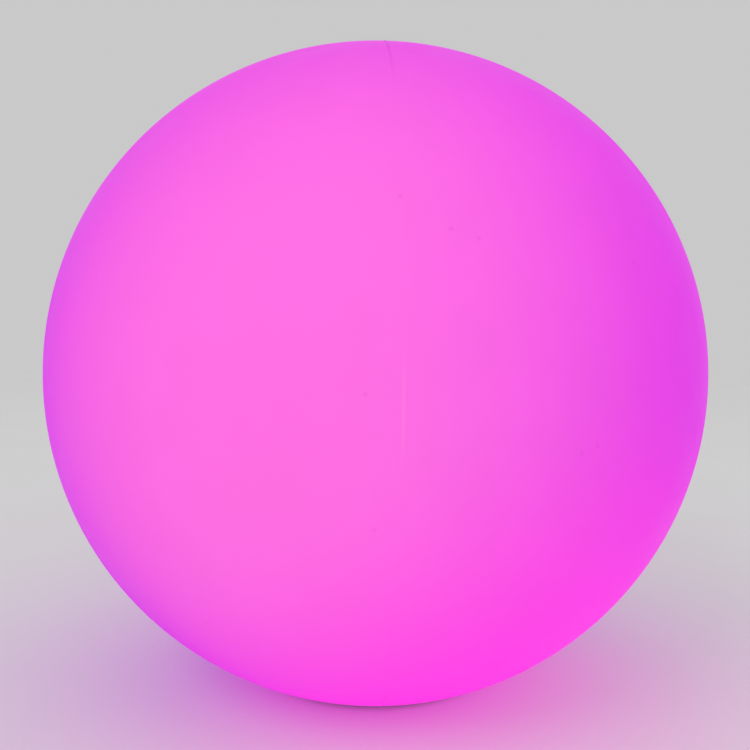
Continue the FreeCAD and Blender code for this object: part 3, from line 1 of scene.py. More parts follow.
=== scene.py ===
"""Looks of a garden globe light: a lit moulded globe that screws down over a sealed lamp base.

The file is laid out as an add-on. Each operator makes or dresses one group of pieces, and
main() runs them in order. Sizes are in metres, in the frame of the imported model.
"""

import json
import math

import bmesh
import bpy
from bpy.props import FloatProperty, FloatVectorProperty, IntProperty, PointerProperty
from mathutils import Matrix, Quaternion, Vector


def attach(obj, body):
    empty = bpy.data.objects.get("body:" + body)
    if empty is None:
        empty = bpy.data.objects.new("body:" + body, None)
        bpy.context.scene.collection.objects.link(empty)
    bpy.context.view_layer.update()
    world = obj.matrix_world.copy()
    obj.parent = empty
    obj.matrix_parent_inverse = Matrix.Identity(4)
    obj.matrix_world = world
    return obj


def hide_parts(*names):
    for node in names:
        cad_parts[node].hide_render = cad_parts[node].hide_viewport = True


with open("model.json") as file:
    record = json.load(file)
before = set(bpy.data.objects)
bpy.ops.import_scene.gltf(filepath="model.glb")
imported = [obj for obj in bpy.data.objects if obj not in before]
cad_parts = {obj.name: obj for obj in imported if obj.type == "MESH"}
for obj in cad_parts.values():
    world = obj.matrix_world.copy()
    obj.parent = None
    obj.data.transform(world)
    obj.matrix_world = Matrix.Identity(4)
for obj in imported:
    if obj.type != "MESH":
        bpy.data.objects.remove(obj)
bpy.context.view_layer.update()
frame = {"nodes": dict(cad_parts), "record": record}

bl_info = {
    "name": "Garden Globe Light",
    "version": (1, 0, 0),
    "blender": (4, 5, 0),
    "location": "View3D > Sidebar > Globe Light",
    "description": "A lit moulded globe on a sealed, rechargeable lamp base",
    "category": "Object",
}

# The camera: where it stands, where it aims from the globe's centre, its roll, lens and sensor in mm.
CAMERA_PLACE = (0, -0.5625, 0.2303)
CAMERA_AIM = (-0.00028, 0, -0.00097)
CAMERA_ROLL = math.radians(0.5)
CAMERA_LENS = 42.14
CAMERA_SENSOR = 36

# The soft lamps: name, place and power in watts. Both have the same size and face the globe.
LAMPS = (("key_lamp", (-1.3, -1.7, 1.9), 10), ("fill_lamp", (1.7, -1.2, 1.1), 4))
LAMP_SIZE = 1.4

# The world's level where it lights the object, and where it is seen, also in gloss and through clear pieces.
WORLD_LIGHT = 0.72
WORLD_SEEN = 0.585

# The floor: how far it reaches from its middle, and between which distances it fades away. A ray shorter
# than FLOOR_CLOSE passes through it, so light gets to what stands close over it.
FLOOR_REACH = 9
FLOOR_FADE = (1.2, 3.5)
FLOOR_CLOSE = 0.014

# How finely round shapes are stepped: the globe's arcs, its full turn, its inside, a foot and the button.
ARC_STEPS = 60
GLOBE_STEPS = 192
INSIDE_STEPS = 120
FOOT_STEPS = 40
BUTTON_STEPS = 64

# The power button's face, which looks down: the depth of its dish, then each corner from the middle to the
# rim, as a share of the button's radius and a depth.
BUTTON_DISH = 0.0006
BUTTON_FACE = (
    (0.2, 0.00057),
    (0.4, 0.00042),
    (0.55, 0.00017),
    (0.64, 0),
    (0.74, 0),
    (0.76, 0.00035),
    (0.83, 0.00035),
    (0.85, 0),
    (0.94, 0),
    (0.985, 0.00012),
    (1, 0.0004),
)

# The grip grooves of the port flap: how many, their pitch, the first one's distance from the flap's end, and
# the block that cuts each one.
GRIP_COUNT = 3
GRIP_PITCH = 0.0012
GRIP_FIRST = 0.0014
GRIP_BLOCK = (0.0005, 0.0074, 0.0008)

# Edges sharper than this stay sharp when a piece is shaded smooth.
SMOOTH_ANGLE = math.radians(38)

# How far round an edge a moulded finish looks rounded, and how many samples find an edge.
EDGE_LOOK = 0.0003
EDGE_SAMPLES = 6

# Colours of garden dust and of the bare ring at a cell's ends, and how far the sleeve goes from its middle.
DUST_COLOUR = (0.36, 0.32, 0.27)
BARE_METAL = (0.62, 0.61, 0.58)
SLEEVE_REACH = 0.0322

# Faint specks in the moulding: how large and how dark they are, and where each lies on the front, to the
# right of and above the globe's centre, in globe radii.
SPECK_RADIUS = 0.0016
SPECK_DARKNESS = 0.1
SPECKS = (
    (-0.02, 0.03),
    (0.22, 0.36),
    (0.05, 0.45),
    (0.61, 0.32),
    (0.00, -0.265),
    (0.50, -0.095),
    (0.46, -0.11),
    (-0.405, -0.56),
    (0.16, 0.38),
)

# Each soft source in the globe: its colour setting, where it leans, and how its edge fades, as cosines. The
# globe's rim, as the camera sees it, is at about 0.36 for the front one.
GLOWS = (
    ("glow_top", (0, 0, 1), 0.0, 1.0),
    ("glow_front", (0, -1, 0), 0.35, 0.95),
    ("glow_right", (1, 0, 0), -0.1, 1.0),
    ("glow_low", (0.4, -0.5, -1), 0.5, 1.1),
)


# ---------------------------------------------------------------- what a user would change


def length(name, description, default, **limits):
    """A size in metres."""
    return FloatProperty(
        name=name, description=description, default=default, unit="LENGTH", precision=5, **limits
    )


def colour(name, description, default):
    """A colour."""
    return FloatVectorProperty(
        name=name, description=description, default=default, size=3, min=0, max=1, subtype="COLOR"
    )


class GlobeSizes(bpy.types.PropertyGroup):
    """Sizes of the pieces that are made here."""

    radius: length("Globe radius", "Outside radius of the globe", 0.2, min=0.05)
    centre_height: length("Centre height", "Height of the globe's centre above the floor", 0.188997)
    wall: length("Wall", "Wall of the moulded globe", 0.0032, min=0.001)
    seam_width: length("Seam width", "Width of the parting ridge", 0.0009, min=0.0002)
    seam_height: length("Seam height", "Height of the parting ridge", 0.0002, min=0)
    seam_turn: FloatProperty(
        name="Seam turn",
        description="Angle of the parting plane from the front",
        default=math.radians(3.4),
        subtype="ANGLE",
    )
    foot_plane: length("Foot plane", "Height of the globe's foot ring above the floor", 0.004)
    recess_radius: length("Recess radius", "Radius of the recess round the base flange", 0.071)
    recess_top: length("Recess top", "Height of the recess seat above the floor", 0.013)
    neck_radius: length("Neck radius", "Inside radius of the globe's neck", 0.062)
    neck_top: length("Neck top", "Height of the neck's top above the floor", 0.037)
    edge: length("Edge", "Rounding of moulded edges", 0.0004, min=0)
    button_radius: length("Button radius", "Radius of the power button", 0.007)
    button_face: length("Button face", "Height of the power button's face above the floor", 0.0022)
    button_reach: length("Button reach", "Distance of the power button to the right of the axis", 0.024)
    flap_end: length("Flap end", "Distance of the flap's free end along X", -0.0193)
    flap_face: length("Flap face", "Height of the flap's outer face above the floor", 0.0031)
    foot_radius: length("Foot radius", "Radius of a rubber foot", 0.0048)
    foot_circle: length("Foot circle", "Radius of the circle of feet", 0.0626)
    foot_height: length("Foot height", "Height of a rubber foot", 0.0045)
    foot_count: IntProperty(name="Feet", description="Number of rubber feet", default=6, min=3)


class GlobeColours(bpy.types.PropertyGroup):
    """Colours of the light and of its main mouldings."""

    # The globe's colour is painted glow: the plastic is opal white, and this pink stands in for the lamp's
    # light through it.
    painted_glow_shell: colour("Globe", "Colour of the globe's plastic", (0.42, 0.045, 0.33))
    glow_around: colour("Glow all round", "Light where no other glow reaches", (0.37, 0.0, 0.53))
    glow_top: colour("Top glow", "Light through the top", (0.47, 0.03, 0.49))
    glow_front: colour("Front glow", "Light through the front", (0.66, 0.12, 0.50))
    glow_right: colour("Right glow", "Light through the right side", (0.44, 0.0, 0.53))
    glow_low: colour("Low glow", "Light through the bottom, and more to the right", (0.72, 0.02, 0.56))
    base: colour("Base", "Colour of the base's plastic", (0.030, 0.031, 0.034))
    cover: colour("Cover", "Colour of the service cover", (0.048, 0.049, 0.053))
    button: colour("Button", "Colour of the button and the flap", (0.100, 0.105, 0.115))
    floor: colour("Floor", "Colour of the floor", (0.80, 0.80, 0.80))


# ---------------------------------------------------------------- nodes


def add(tree, kind, inputs=None, **settings):
    """A new node. An input is given a value, or a socket to be linked to."""
    node = tree.nodes.new(kind)
    for name, value in settings.items():
        setattr(node, name, value)
    for name, value in (inputs or {}).items():
        if isinstance(value, bpy.types.NodeSocket):
            tree.links.new(value, node.inputs[name])
        else:
            node.inputs[name].default_value = value
    return node


def calc(tree, operation, *values):
    """A Math node's output."""
    return add(tree, "ShaderNodeMath", dict(enumerate(values)), operation=operation).outputs[0]


def aim(tree, operation, *values):
    """A Vector Math node."""
    return add(tree, "ShaderNodeVectorMath", dict(enumerate(values)), operation=operation)


def mix(tree, factor, first, second):
    """A Mix node's colour output."""
    node = add(tree, "ShaderNodeMix", data_type="RGBA")
    for name, value in (("Factor_Float", factor), ("A_Color", first), ("B_Color", second)):
        socket = next(s for s in node.inputs if s.identifier == name)
        if isinstance(value, bpy.types.NodeSocket):
            tree.links.new(value, socket)
        else:
            socket.default_value = value
    return next(s for s in node.outputs if s.identifier == "Result_Color")


def remap(tree, value, low, high, to_low=0.0, to_high=1.0, kind="SMOOTHSTEP"):
    """A Map Range node's output."""
    inputs = {"Value": value, "From Min": low, "From Max": high, "To Min": to_low, "To Max": to_high}
    return add(tree, "ShaderNodeMapRange", inputs, interpolation_type=kind).outputs["Result"]


def noise(tree, where, scale, detail, distortion=0.0):
    """A Noise Texture's value."""
    inputs = {"Vector": where, "Scale": scale, "Detail": detail, "Distortion": distortion}
    return add(tree, "ShaderNodeTexNoise", inputs).outputs["Fac"]


def full(rgb):
    """A colour with its alpha."""
    return (*rgb, 1.0)


def scaled(rgb, factor):
    """A darker or lighter shade of a colour."""
    return tuple(min(1.0, channel * factor) for channel in rgb)


def shades(tree, pattern, rgb, darker, lighter=1.0):
    """A colour that goes between two shades of rgb with a pattern."""
    return mix(tree, pattern, full(scaled(rgb, darker)), full(scaled(rgb, lighter)))


def new_group(name, inputs, outputs):
    """An empty shader node group with its ends. A socket is (name, kind, default)."""
    group = bpy.data.node_groups.new(name, "ShaderNodeTree")
    for label, kind, default in inputs:
        socket = group.interface.new_socket(label, in_out="INPUT", socket_type=kind)
        if default is not None:
            socket.default_value = default
    for label, kind in outputs:
        group.interface.new_socket(label, in_out="OUTPUT", socket_type=kind)
    return group, group.nodes.new("NodeGroupInput"), group.nodes.new("NodeGroupOutput")


def moulded_grain_group():
    """Fine texture of a moulded surface, with a slow cloudy change under it."""
    group, ends, out = new_group(
        "Moulded grain",
        [("Vector", "NodeSocketVector", None), ("Grain Size", "NodeSocketFloat", 0.0005)],
        [("Height", "NodeSocketFloat"), ("Cloud", "NodeSocketFloat")],
    )
    scale = calc(group, "DIVIDE", 1.0, ends.outputs["Grain Size"])
    fine = noise(group, ends.outputs["Vector"], scale, 3.0)
    slow = noise(group, ends.outputs["Vector"], calc(group, "DIVIDE", scale, 40.0), 2.0)
    group.links.new(fine, out.inputs["Height"])
    group.links.new(remap(group, slow, 0.3, 0.7), out.inputs["Cloud"])
    return group


def edge_rub_group():
    """Where edges are rubbed: 1 on a sharp edge, broken up by noise."""
    group, ends, out = new_group(
        "Edge rub",
        [("Vector", "NodeSocketVector", None), ("Width", "NodeSocketFloat", 0.0006)],
        [("Mask", "NodeSocketFloat")],
    )
    rounded = add(group, "ShaderNodeBevel", {"Radius": ends.outputs["Width"]}, samples=EDGE_SAMPLES)
    plain = add(group, "ShaderNodeNewGeometry").outputs["Normal"]
    bend = aim(group, "DOT_PRODUCT", rounded.outputs["Normal"], plain).outputs["Value"]
    worn = remap(group, calc(group, "SUBTRACT", 1.0, bend), 0.01, 0.16)
    broken = remap(group, noise(group, ends.outputs["Vector"], 260.0, 4.0), 0.38, 0.62)
    group.links.new(calc(group, "MULTIPLY", worn, broken), out.inputs["Mask"])
    return group


def dust_group():
    """Garden dust: most on surfaces that face up, and in patches."""
    group, ends, out = new_group(
        "Dust",
        [("Vector", "NodeSocketVector", None), ("Amount", "NodeSocketFloat", 0.3)],
        [("Mask", "NodeSocketFloat")],
    )
    normal = add(group, "ShaderNodeNewGeometry").outputs["Normal"]
    up = add(group, "ShaderNodeSeparateXYZ", {"Vector": normal}).outputs["Z"]
    patches = remap(group, noise(group, ends.outputs["Vector"], 90.0, 6.0), 0.42, 0.68)
    mask = calc(group, "MULTIPLY", remap(group, up, -0.2, 0.9, 0.25, 1.0), patches)
    group.links.new(calc(group, "MULTIPLY", mask, ends.outputs["Amount"]), out.inputs["Mask"])
    return group


def streak_group():
    """Brushed or rolled streaks along X of the vector that comes in."""
    group, ends, out = new_group(
        "Metal streaks",
        [("Vector", "NodeSocketVector", None), ("Spacing", "NodeSocketFloat", 0.0002)],
        [("Height", "NodeSocketFloat"), ("Tone", "NodeSocketFloat")],
    )
    across = calc(group, "DIVIDE", 1.0, ends.outputs["Spacing"])
    along = calc(group, "DIVIDE", across, 30.0)
    stretch = add(group, "ShaderNodeCombineXYZ", {"X": along, "Y": across, "Z": across})
    stretched = aim(group, "MULTIPLY", ends.outputs["Vector"], stretch.outputs["Vector"])
    streaks = noise(group, stretched.outputs["Vector"], 1.0, 3.0)
    group.links.new(streaks, out.inputs["Height"])
    group.links.new(remap(group, streaks, 0.3, 0.7), out.inputs["Tone"])
    return group


def speck_group():
    """A small round spot: 1 at its place, 0 outside its radius."""
    group, ends, out = new_group(
        "Moulding speck",
        [
            ("Vector", "NodeSocketVector", None),
            ("Place", "NodeSocketVector", (0, 0, 0)),
            ("Radius", "NodeSocketFloat", 0.001),
        ],
        [("Mask", "NodeSocketFloat")],
    )
    away = aim(group, "DISTANCE", ends.outputs["Vector"], ends.outputs["Place"]).outputs["Value"]
    share = calc(group, "DIVIDE", away, ends.outputs["Radius"])
    group.links.new(remap(group, share, 0.35, 1.0, 1.0, 0.0), out.inputs["Mask"])
    return group


GROUP_MAKERS = {
    "Moulded grain": moulded_grain_group,
    "Edge rub": edge_rub_group,
    "Dust": dust_group,
    "Metal streaks": streak_group,
    "Moulding speck": speck_group,
}


def place(tree, name, inputs):
    """One use of a shared node group, which is built the first time it is asked for."""
    shared = bpy.data.node_groups.get(name) or GROUP_MAKERS[name]()
    return add(tree, "ShaderNodeGroup", inputs, node_tree=shared)


# ---------------------------------------------------------------- materials


def new_material(name):
    """A material with a Principled BSDF, and the object coordinates that its patterns read."""
    material = bpy.data.materials.new(name)
    material.use_nodes = True
    tree = material.node_tree
    shader = tree.nodes["Principled BSDF"]
    where = add(tree, "ShaderNodeTexCoord").outputs["Object"]
    return material, tree, shader, where


def link(tree, socket, shader, name):
    """Link a socket to one of the shader's inputs."""
    tree.links.new(socket, shader.inputs[name])


def roughness(tree, shader, pattern, smooth, rough):
    """Let the roughness go between two levels with a pattern from 0 to 1."""
    link(tree, remap(tree, pattern, 0, 1, smooth, rough), shader, "Roughness")


def bump(tree, shader, height, depth, rounded=False):
    """Feed a height into the shader's normal, with that depth in metres. Edges can look rounded as well."""
    inputs = {"Height": height, "Strength": 1.0, "Distance": depth}
    if rounded:
        bevel = add(tree, "ShaderNodeBevel", {"Radius": EDGE_LOOK}, samples=EDGE_SAMPLES)
        inputs["Normal"] = bevel.outputs["Normal"]
    link(tree, add(tree, "ShaderNodeBump", inputs).outputs["Normal"], shader, "Normal")


def moulded_plastic(name, rgb, grain=0.0005, depth=0.00002, rough=0.45, rub=None, dust=0.0):
    """Moulded plastic: grain, a cloudy tone, rounded edges, and where asked rubbed edges and dust."""
    material, tree, shader, where = new_material(name)
    texture = place(tree, "Moulded grain", {"Vector": where, "Grain Size": grain})
    tone = shades(tree, texture.outputs["Cloud"], rgb, 0.95, 1.05)
    if rub:
        edges = place(tree, "Edge rub", {"Vector": where})
        tone = mix(tree, edges.outputs["Mask"], tone, full(rub))
    if dust:
        cover = place(tree, "Dust", {"Vector": where, "Amount": dust})
        tone = mix(tree, cover.outputs["Mask"], tone, full(DUST_COLOUR))
    link(tree, tone, shader, "Base Color")
    roughness(tree, shader, texture.outputs["Cloud"], rough - 0.05, rough + 0.06)
    shader.inputs["Specular IOR Level"].default_value = 0.4
    bump(tree, shader, texture.outputs["Height"], depth, rounded=True)
    return material


def rubber(name, rgb, grain=0.0003, rough=0.7):
    """Rubber or silicone: matt, with rounded edges and a slightly paler bloom in patches."""
    material, tree, shader, where = new_material(name)
    texture = place(tree, "Moulded grain", {"Vector": where, "Grain Size": grain})
    bloom = place(tree, "Dust", {"Vector": where, "Amount": 0.35})
    tone = shades(tree, texture.outputs["Cloud"], rgb, 0.9, 1.15)
    tone = mix(tree, bloom.outputs["Mask"], tone, full(tuple(0.7 * c + 0.06 for c in rgb)))
    link(tree, tone, shader, "Base Color")
    roughness(tree, shader, texture.outputs["Cloud"], rough - 0.06, rough + 0.08)
    shader.inputs["Specular IOR Level"].default_value = 0.3
    bump(tree, shader, texture.outputs["Height"], 0.00002, rounded=True)
    return material


def metal(name, rgb, spacing=0.0002, depth=0.000004, rough=0.32, turn=(0, 0, 0)):
    """Metal with rolled or turned streaks, along X unless it is turned."""
    material, tree, shader, where = new_material(name)
    turned = add(tree, "ShaderNodeMapping", {"Vector": where, "Rotation": turn}).outputs["Vector"]
    streaks = place(tree, "Metal streaks", {"Vector": turned, "Spacing": spacing})
    cloud = place(tree, "Moulded grain", {"Vector": where, "Grain Size": 0.0004})
    link(tree, shades(tree, streaks.outputs["Tone"], rgb, 0.88, 1.08), shader, "Base Color")
    roughness(tree, shader, cloud.outputs["Cloud"], rough - 0.07, rough + 0.1)
    shader.inputs["Metallic"].default_value = 1.0
    bump(tree, shader, streaks.outputs["Height"], depth)
    return material


def circuit_board(name, mask_rgb, track_rgb, spacing):
    """A circuit board: solder mask over a maze of tracks, which show as a slightly raised pattern."""
    material, tree, shader, where = new_material(name)
    cells = add(
        tree,
        "ShaderNodeTexVoronoi",
        {"Vector": where, "Scale": 1 / spacing, "Randomness": 0.55},
        distance="MANHATTAN",
        feature="F1",
    )
    ridge = calc(tree, "PINGPONG", calc(tree, "MULTIPLY", cells.outputs["Distance"], 6.0), 1.0)
    tracks = remap(tree, ridge, 0.55, 0.72)
    grain = place(tree, "Moulded grain", {"Vector": where, "Grain Size": 0.0004})
    tone = mix(tree, tracks, full(mask_rgb), full(track_rgb))
    stain = calc(tree, "MULTIPLY", grain.outputs["Cloud"], 0.25)
    tone = mix(tree, stain, tone, full(scaled(mask_rgb, 0.7)))
    link(tree, tone, shader, "Base Color")
    roughness(tree, shader, tracks, 0.28, 0.36)
    bump(tree, shader, tracks, 0.00003)
    return material


def cell_sleeve(name, rgb):
    """Shrink sleeve on a cell: glossy, with faint wrinkles round it and a bare metal ring at its ends."""
    material, tree, shader, where = new_material(name)
    along = add(tree, "ShaderNodeSeparateXYZ", {"Vector": where}).outputs["X"]
    end = remap(tree, calc(tree, "ABSOLUTE", along), SLEEVE_REACH - 0.00015, SLEEVE_REACH)
    wrinkles = noise(tree, where, 220.0, 2.0, 0.6)
    tone = shades(tree, remap(tree, wrinkles, 0.35, 0.65), rgb, 0.85, 1.1)
    link(tree, mix(tree, end, tone, full(BARE_METAL)), shader, "Base Color")
    link(tree, end, shader, "Metallic")
    link(tree, remap(tree, wrinkles, 0.3, 0.7, 0.22, 0.34), shader, "Roughness")
    bump(tree, shader, wrinkles, 0.00004)
    return material


def lit_plastic(name, rgb, glow, strength):
    """Frosted plastic that is lit from inside, brighter in slow patches."""
    material, tree, shader, where = new_material(name)
    texture = place(tree, "Moulded grain", {"Vector": where, "Grain Size": 0.0004})
    link(tree, shades(tree, texture.outputs["Cloud"], rgb, 0.94), shader, "Base Color")
    link(tree, shades(tree, texture.outputs["Cloud"], glow, 0.9), shader, "Emission Color")
    roughness(tree, shader, texture.outputs["Cloud"], 0.4, 0.5)
    shader.inputs["Emission Strength"].default_value = strength
    bump(tree, shader, texture.outputs["Height"], 0.00001)
    return material


def clear_plastic(name, rgb):
    """A clear light pipe."""
    material, tree, shader, where = new_material(name)
    texture = place(tree, "Moulded grain", {"Vector": where, "Grain Size": 0.0006})
    link(tree, shades(tree, texture.outputs["Cloud"], rgb, 0.97), shader, "Base Color")
    roughness(tree, shader, texture.outputs["Cloud"], 0.08, 0.14)
    shader.inputs["Transmission Weight"].default_value = 0.85
    shader.inputs["IOR"].default_value = 1.49
    bump(tree, shader, texture.outputs["Height"], 0.000005)
    return material


def glow_spread(tree, way, lean, low, high):
    """How strongly one source inside lights a place: 1 where the way from the centre is along lean."""
    along = aim(tree, "DOT_PRODUCT", way, tuple(Vector(lean).normalized())).outputs["Value"]
    return remap(tree, along, low, high)


def speck_place(sizes, right, up):
    """Where on the globe's front a speck lies, from how far it is to the right and up in globe radii."""
    depth = math.sqrt(max(0.0, 1 - right * right - up * up))
    return Vector((right, -depth, up)) * sizes.radius + Vector((0, 0, sizes.centre_height))


def globe_plastic(sizes, colours):
    """Make the globe's opal plastic, lit from inside: soft glows, painted glow in its base colour, the
    parting line and the specks.
    """
    material, tree, shader, where = new_material("globe_opal_finish")
    centred = aim(tree, "SUBTRACT", where, (0, 0, sizes.centre_height)).outputs["Vector"]
    way = aim(tree, "NORMALIZE", centred).outputs["Vector"]
    glow = full(colours.glow_around)
    for setting, lean, low, high in GLOWS:
        glow = mix(tree, glow_spread(tree, way, lean, low, high), glow, full(getattr(colours, setting)))
    seam_way = (math.cos(sizes.seam_turn), math.sin(sizes.seam_turn), 0)
    off_seam = calc(tree, "ABSOLUTE", aim(tree, "DOT_PRODUCT", centred, seam_way).outputs["Value"])
    seam = remap(tree, off_seam, sizes.seam_width * 0.5, sizes.seam_width * 1.1, 1.0, 0.0)
    steep = calc(tree, "ABSOLUTE", add(tree, "ShaderNodeSeparateXYZ", {"Vector": way}).outputs["Z"])
    # The line is dark towards the top and the bottom, and a faint light streak at mid height.
    marks = calc(tree, "MULTIPLY", seam, remap(tree, steep, 0.72, 0.95, 0.0, 0.2))
    streak = calc(tree, "MULTIPLY", seam, remap(tree, steep, 0.02, 0.14, 0.03, 0.0))
    for right, up in SPECKS:
        inputs = {"Vector": where, "Place": speck_place(sizes, right, up), "Radius": SPECK_RADIUS}
        spot = place(tree, "Moulding speck", inputs).outputs["Mask"]
        marks = calc(tree, "MAXIMUM", marks, calc(tree, "MULTIPLY", spot, SPECK_DARKNESS))
    texture = place(tree, "Moulded grain", {"Vector": where, "Grain Size": 0.0009})
    glow = mix(tree, streak, glow, full((1, 1, 1)))
    glow = mix(tree, marks, glow, full(scaled(colours.glow_around, 0.2)))
    link(tree, glow, shader, "Emission Color")
    # The base colour carries painted glow: a share of the lit pink stands in for the lamp inside, over
    # plastic that is opal white.
    tone = shades(tree, texture.outputs["Cloud"], colours.painted_glow_shell, 0.97, 1.03)
    link(tree, mix(tree, marks, tone, full(scaled(colours.painted_glow_shell, 0.4))), shader, "Base Color")
    roughness(tree, shader, texture.outputs["Cloud"], 0.46, 0.54)
    shader.inputs["Emission Strength"].default_value = 1.0
    shader.inputs["Specular IOR Level"].default_value = 0.08
    bump(tree, shader, texture.outputs["Height"], 0.00001)
    return material


def finishes(colours):
    """How the finishes other than the globe's are made, by slot: the maker, a colour and other values."""
    along_y = (0, 0, math.radians(90))
    base = {"grain": 0.0006, "depth": 0.00004, "rough": 0.5, "rub": (0.09, 0.09, 0.10), "dust": 0.08}
    cover = {"grain": 0.0007, "depth": 0.00005, "rough": 0.52, "rub": (0.12, 0.12, 0.13), "dust": 0.12}
    spring = {"depth": 0.000003, "rough": 0.25, "turn": along_y}
    nickel = {"spacing": 0.0003, "depth": 0.000003, "rough": 0.3, "turn": along_y}
    jack = {"grain": 0.0004, "depth": 0.000005, "rough": 0.2}
    chip = {"grain": 0.0002, "depth": 0.000008, "rough": 0.55}
    cream = {"grain": 0.0004, "depth": 0.000008, "rough": 0.38}
    jacket = {"grain": 0.0004, "depth": 0.000006, "rough": 0.35}
    steel = {"spacing": 0.00012, "depth": 0.000003, "rough": 0.28}
    can = {"spacing": 0.00025, "depth": 0.000002, "rough": 0.34}
    plate = {"spacing": 0.0004, "depth": 0.000005, "rough": 0.36}
    green = {"track_rgb": (0.020, 0.150, 0.055), "spacing": 0.0016}
    white = {"track_rgb": (0.72, 0.72, 0.69), "spacing": 0.004}
    emitter = {"glow": (0.95, 0.30, 0.75), "strength": 1.2}
    dome = {"glow": (0.80, 0.16, 0.62), "strength": 0.8}
    return {
        "collar_plastic": (moulded_plastic, (0.60, 0.60, 0.63), {"rough": 0.4}),
        "base_plastic": (moulded_plastic, colours.base, base),
        "cover_plastic": (moulded_plastic, colours.cover, cover),
        "silicone": (rubber, (0.50, 0.50, 0.52), {"grain": 0.0004, "rough": 0.5}),
        "black_rubber": (rubber, (0.012, 0.012, 0.012), {}),
        "button_rubber": (rubber, colours.button, {"rough": 0.6}),
        "steel": (metal, (0.60, 0.60, 0.62), steel),
        "spring_steel": (metal, (0.42, 0.43, 0.46), spring),
        "nickel": (metal, (0.66, 0.63, 0.57), nickel),
        "jack_black": (moulded_plastic, (0.008, 0.008, 0.008), jack),
        "lens_clear": (clear_plastic, (0.90, 0.94, 0.96), {}),
        "board_green": (circuit_board, (0.008, 0.080, 0.030), green),
        "board_white": (circuit_board, (0.80, 0.80, 0.78), white),
        "chip_black": (moulded_plastic, (0.014, 0.014, 0.016), chip),
        "ferrite": (moulded_plastic, (0.045, 0.045, 0.047), {"grain": 0.00025, "rough": 0.65}),
        "can_metal": (metal, (0.68, 0.69, 0.70), can),
        "socket_cream": (moulded_plastic, (0.70, 0.65, 0.51), cream),
        "tray_black": (moulded_plastic, (0.018, 0.018, 0.019), {"depth": 0.00003, "rough": 0.5}),
        "cell_wrap": (cell_sleeve, (0.010, 0.060, 0.26), {}),
        "heat_metal": (metal, (0.74, 0.75, 0.76), plate),
        "emitter_white": (lit_plastic, (0.80, 0.62, 0.74), emitter),
        "dome_frost": (lit_plastic, (0.72, 0.55, 0.68), dome),
        "lead_jacket": (moulded_plastic, (0.26, 0.012, 0.012), jacket),
    }


def slot_material(slot, colours):
    """The material of a slot, made the first time it is asked for."""
    name = f"{slot}_finish"
    material = bpy.data.materials.get(name)
    if material is None:
        maker, rgb, values = finishes(colours)[slot]
        material = maker(name, rgb, **values)
    return material


def dress(context, *node_names):
    """Give each of these CAD nodes the finish of its slot."""
    slots = {part["node"]: part["material_slot"] for part in frame["record"]["subparts"]}
    for node_name in node_names:
        mesh = frame["nodes"][node_name].data
        mesh.materials.clear()
        mesh.materials.append(slot_material(slots[node_name], context.scene.globe_colours))


# ---------------------------------------------------------------- shapes


def new_piece(name, bm, body, slot, node_name):
    """Turn a bmesh into a smooth piece that rides a body and stands for a CAD node. Its finish exists."""
    mesh = bpy.data.meshes.new(name)
    bm.to_mesh(mesh)
    bm.free()
    mesh.materials.append(bpy.data.materials[f"{slot}_finish"])
    mesh.shade_smooth()
    mesh.set_sharp_from_angle(angle=SMOOTH_ANGLE)
    piece = bpy.data.objects.new(name, mesh)
    bpy.context.scene.collection.objects.link(piece)
    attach(piece, body)
    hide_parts(node_name)


def clean(bm):
    """Merge doubles, drop what has no area and turn every face outwards."""
    bmesh.ops.remove_doubles(bm, verts=bm.verts, dist=1e-7)
    bmesh.ops.dissolve_degenerate(bm, edges=bm.edges, dist=1e-7)
    bmesh.ops.recalc_face_normals(bm, faces=bm.faces)


def sweep(bm, vert, centre, axis, angle, steps):
    """Spin one vertex into an arc and return the arc's last vertex."""
    made = bmesh.ops.spin(bm, geom=[vert], cent=centre, axis=axis, angle=angle, steps=steps)
    return next(item for item in made["geom_last"] if isinstance(item, bmesh.types.BMVert))


def draw_to(bm, vert, corner):
    """Extrude one vertex to a corner (distance from the upright axis, height) and return it."""
    made = bmesh.ops.extrude_vert_indiv(bm, verts=[vert])
    made["verts"][0].co = Vector((corner[0], 0, corner[1]))
    return made["verts"][0]


def turn_round(bm, centre, axis, steps):
    """Spin a whole profile into a closed turned shape."""
    profile = list(bm.verts) + list(bm.edges)
    bmesh.ops.spin(bm, geom=profile, cent=centre, axis=axis, angle=math.tau, steps=steps, use_merge=True)
    clean(bm)


def ball(sizes):
    """The outside of the globe with its parting ridge, spun about a level axis."""
    bm = bmesh.new()
    centre = Vector((0, 0, sizes.centre_height))
    lean = sizes.seam_width / 2 / sizes.radius
    vert = bm.verts.new(centre + Vector((-sizes.radius, 0, 0)))
    vert = sweep(bm, vert, centre, (0, 1, 0), math.pi / 2 - 2 * lean, ARC_STEPS)
    # Over the ridge: how far each step goes, and how much of the ridge's height it reaches.
    for part, share in ((1, 0), (0.5, 0.7), (0.5, 1), (0.5, 0.7), (0.5, 0), (1, 0)):
        vert = sweep(bm, vert, centre, (0, 1, 0), part * lean, 1)
        vert.co = centre + (vert.co - centre).normalized() * (sizes.radius + share * sizes.seam_height)
    sweep(bm, vert, centre, (0, 1, 0), math.pi / 2 - 2 * lean, ARC_STEPS)
    turn_round(bm, centre, (1, 0, 0), GLOBE_STEPS)
    bmesh.ops.rotate(bm, cent=(0, 0, 0), matrix=Matrix.Rotation(sizes.seam_turn, 3, "Z"), verts=bm.verts)
    return bm


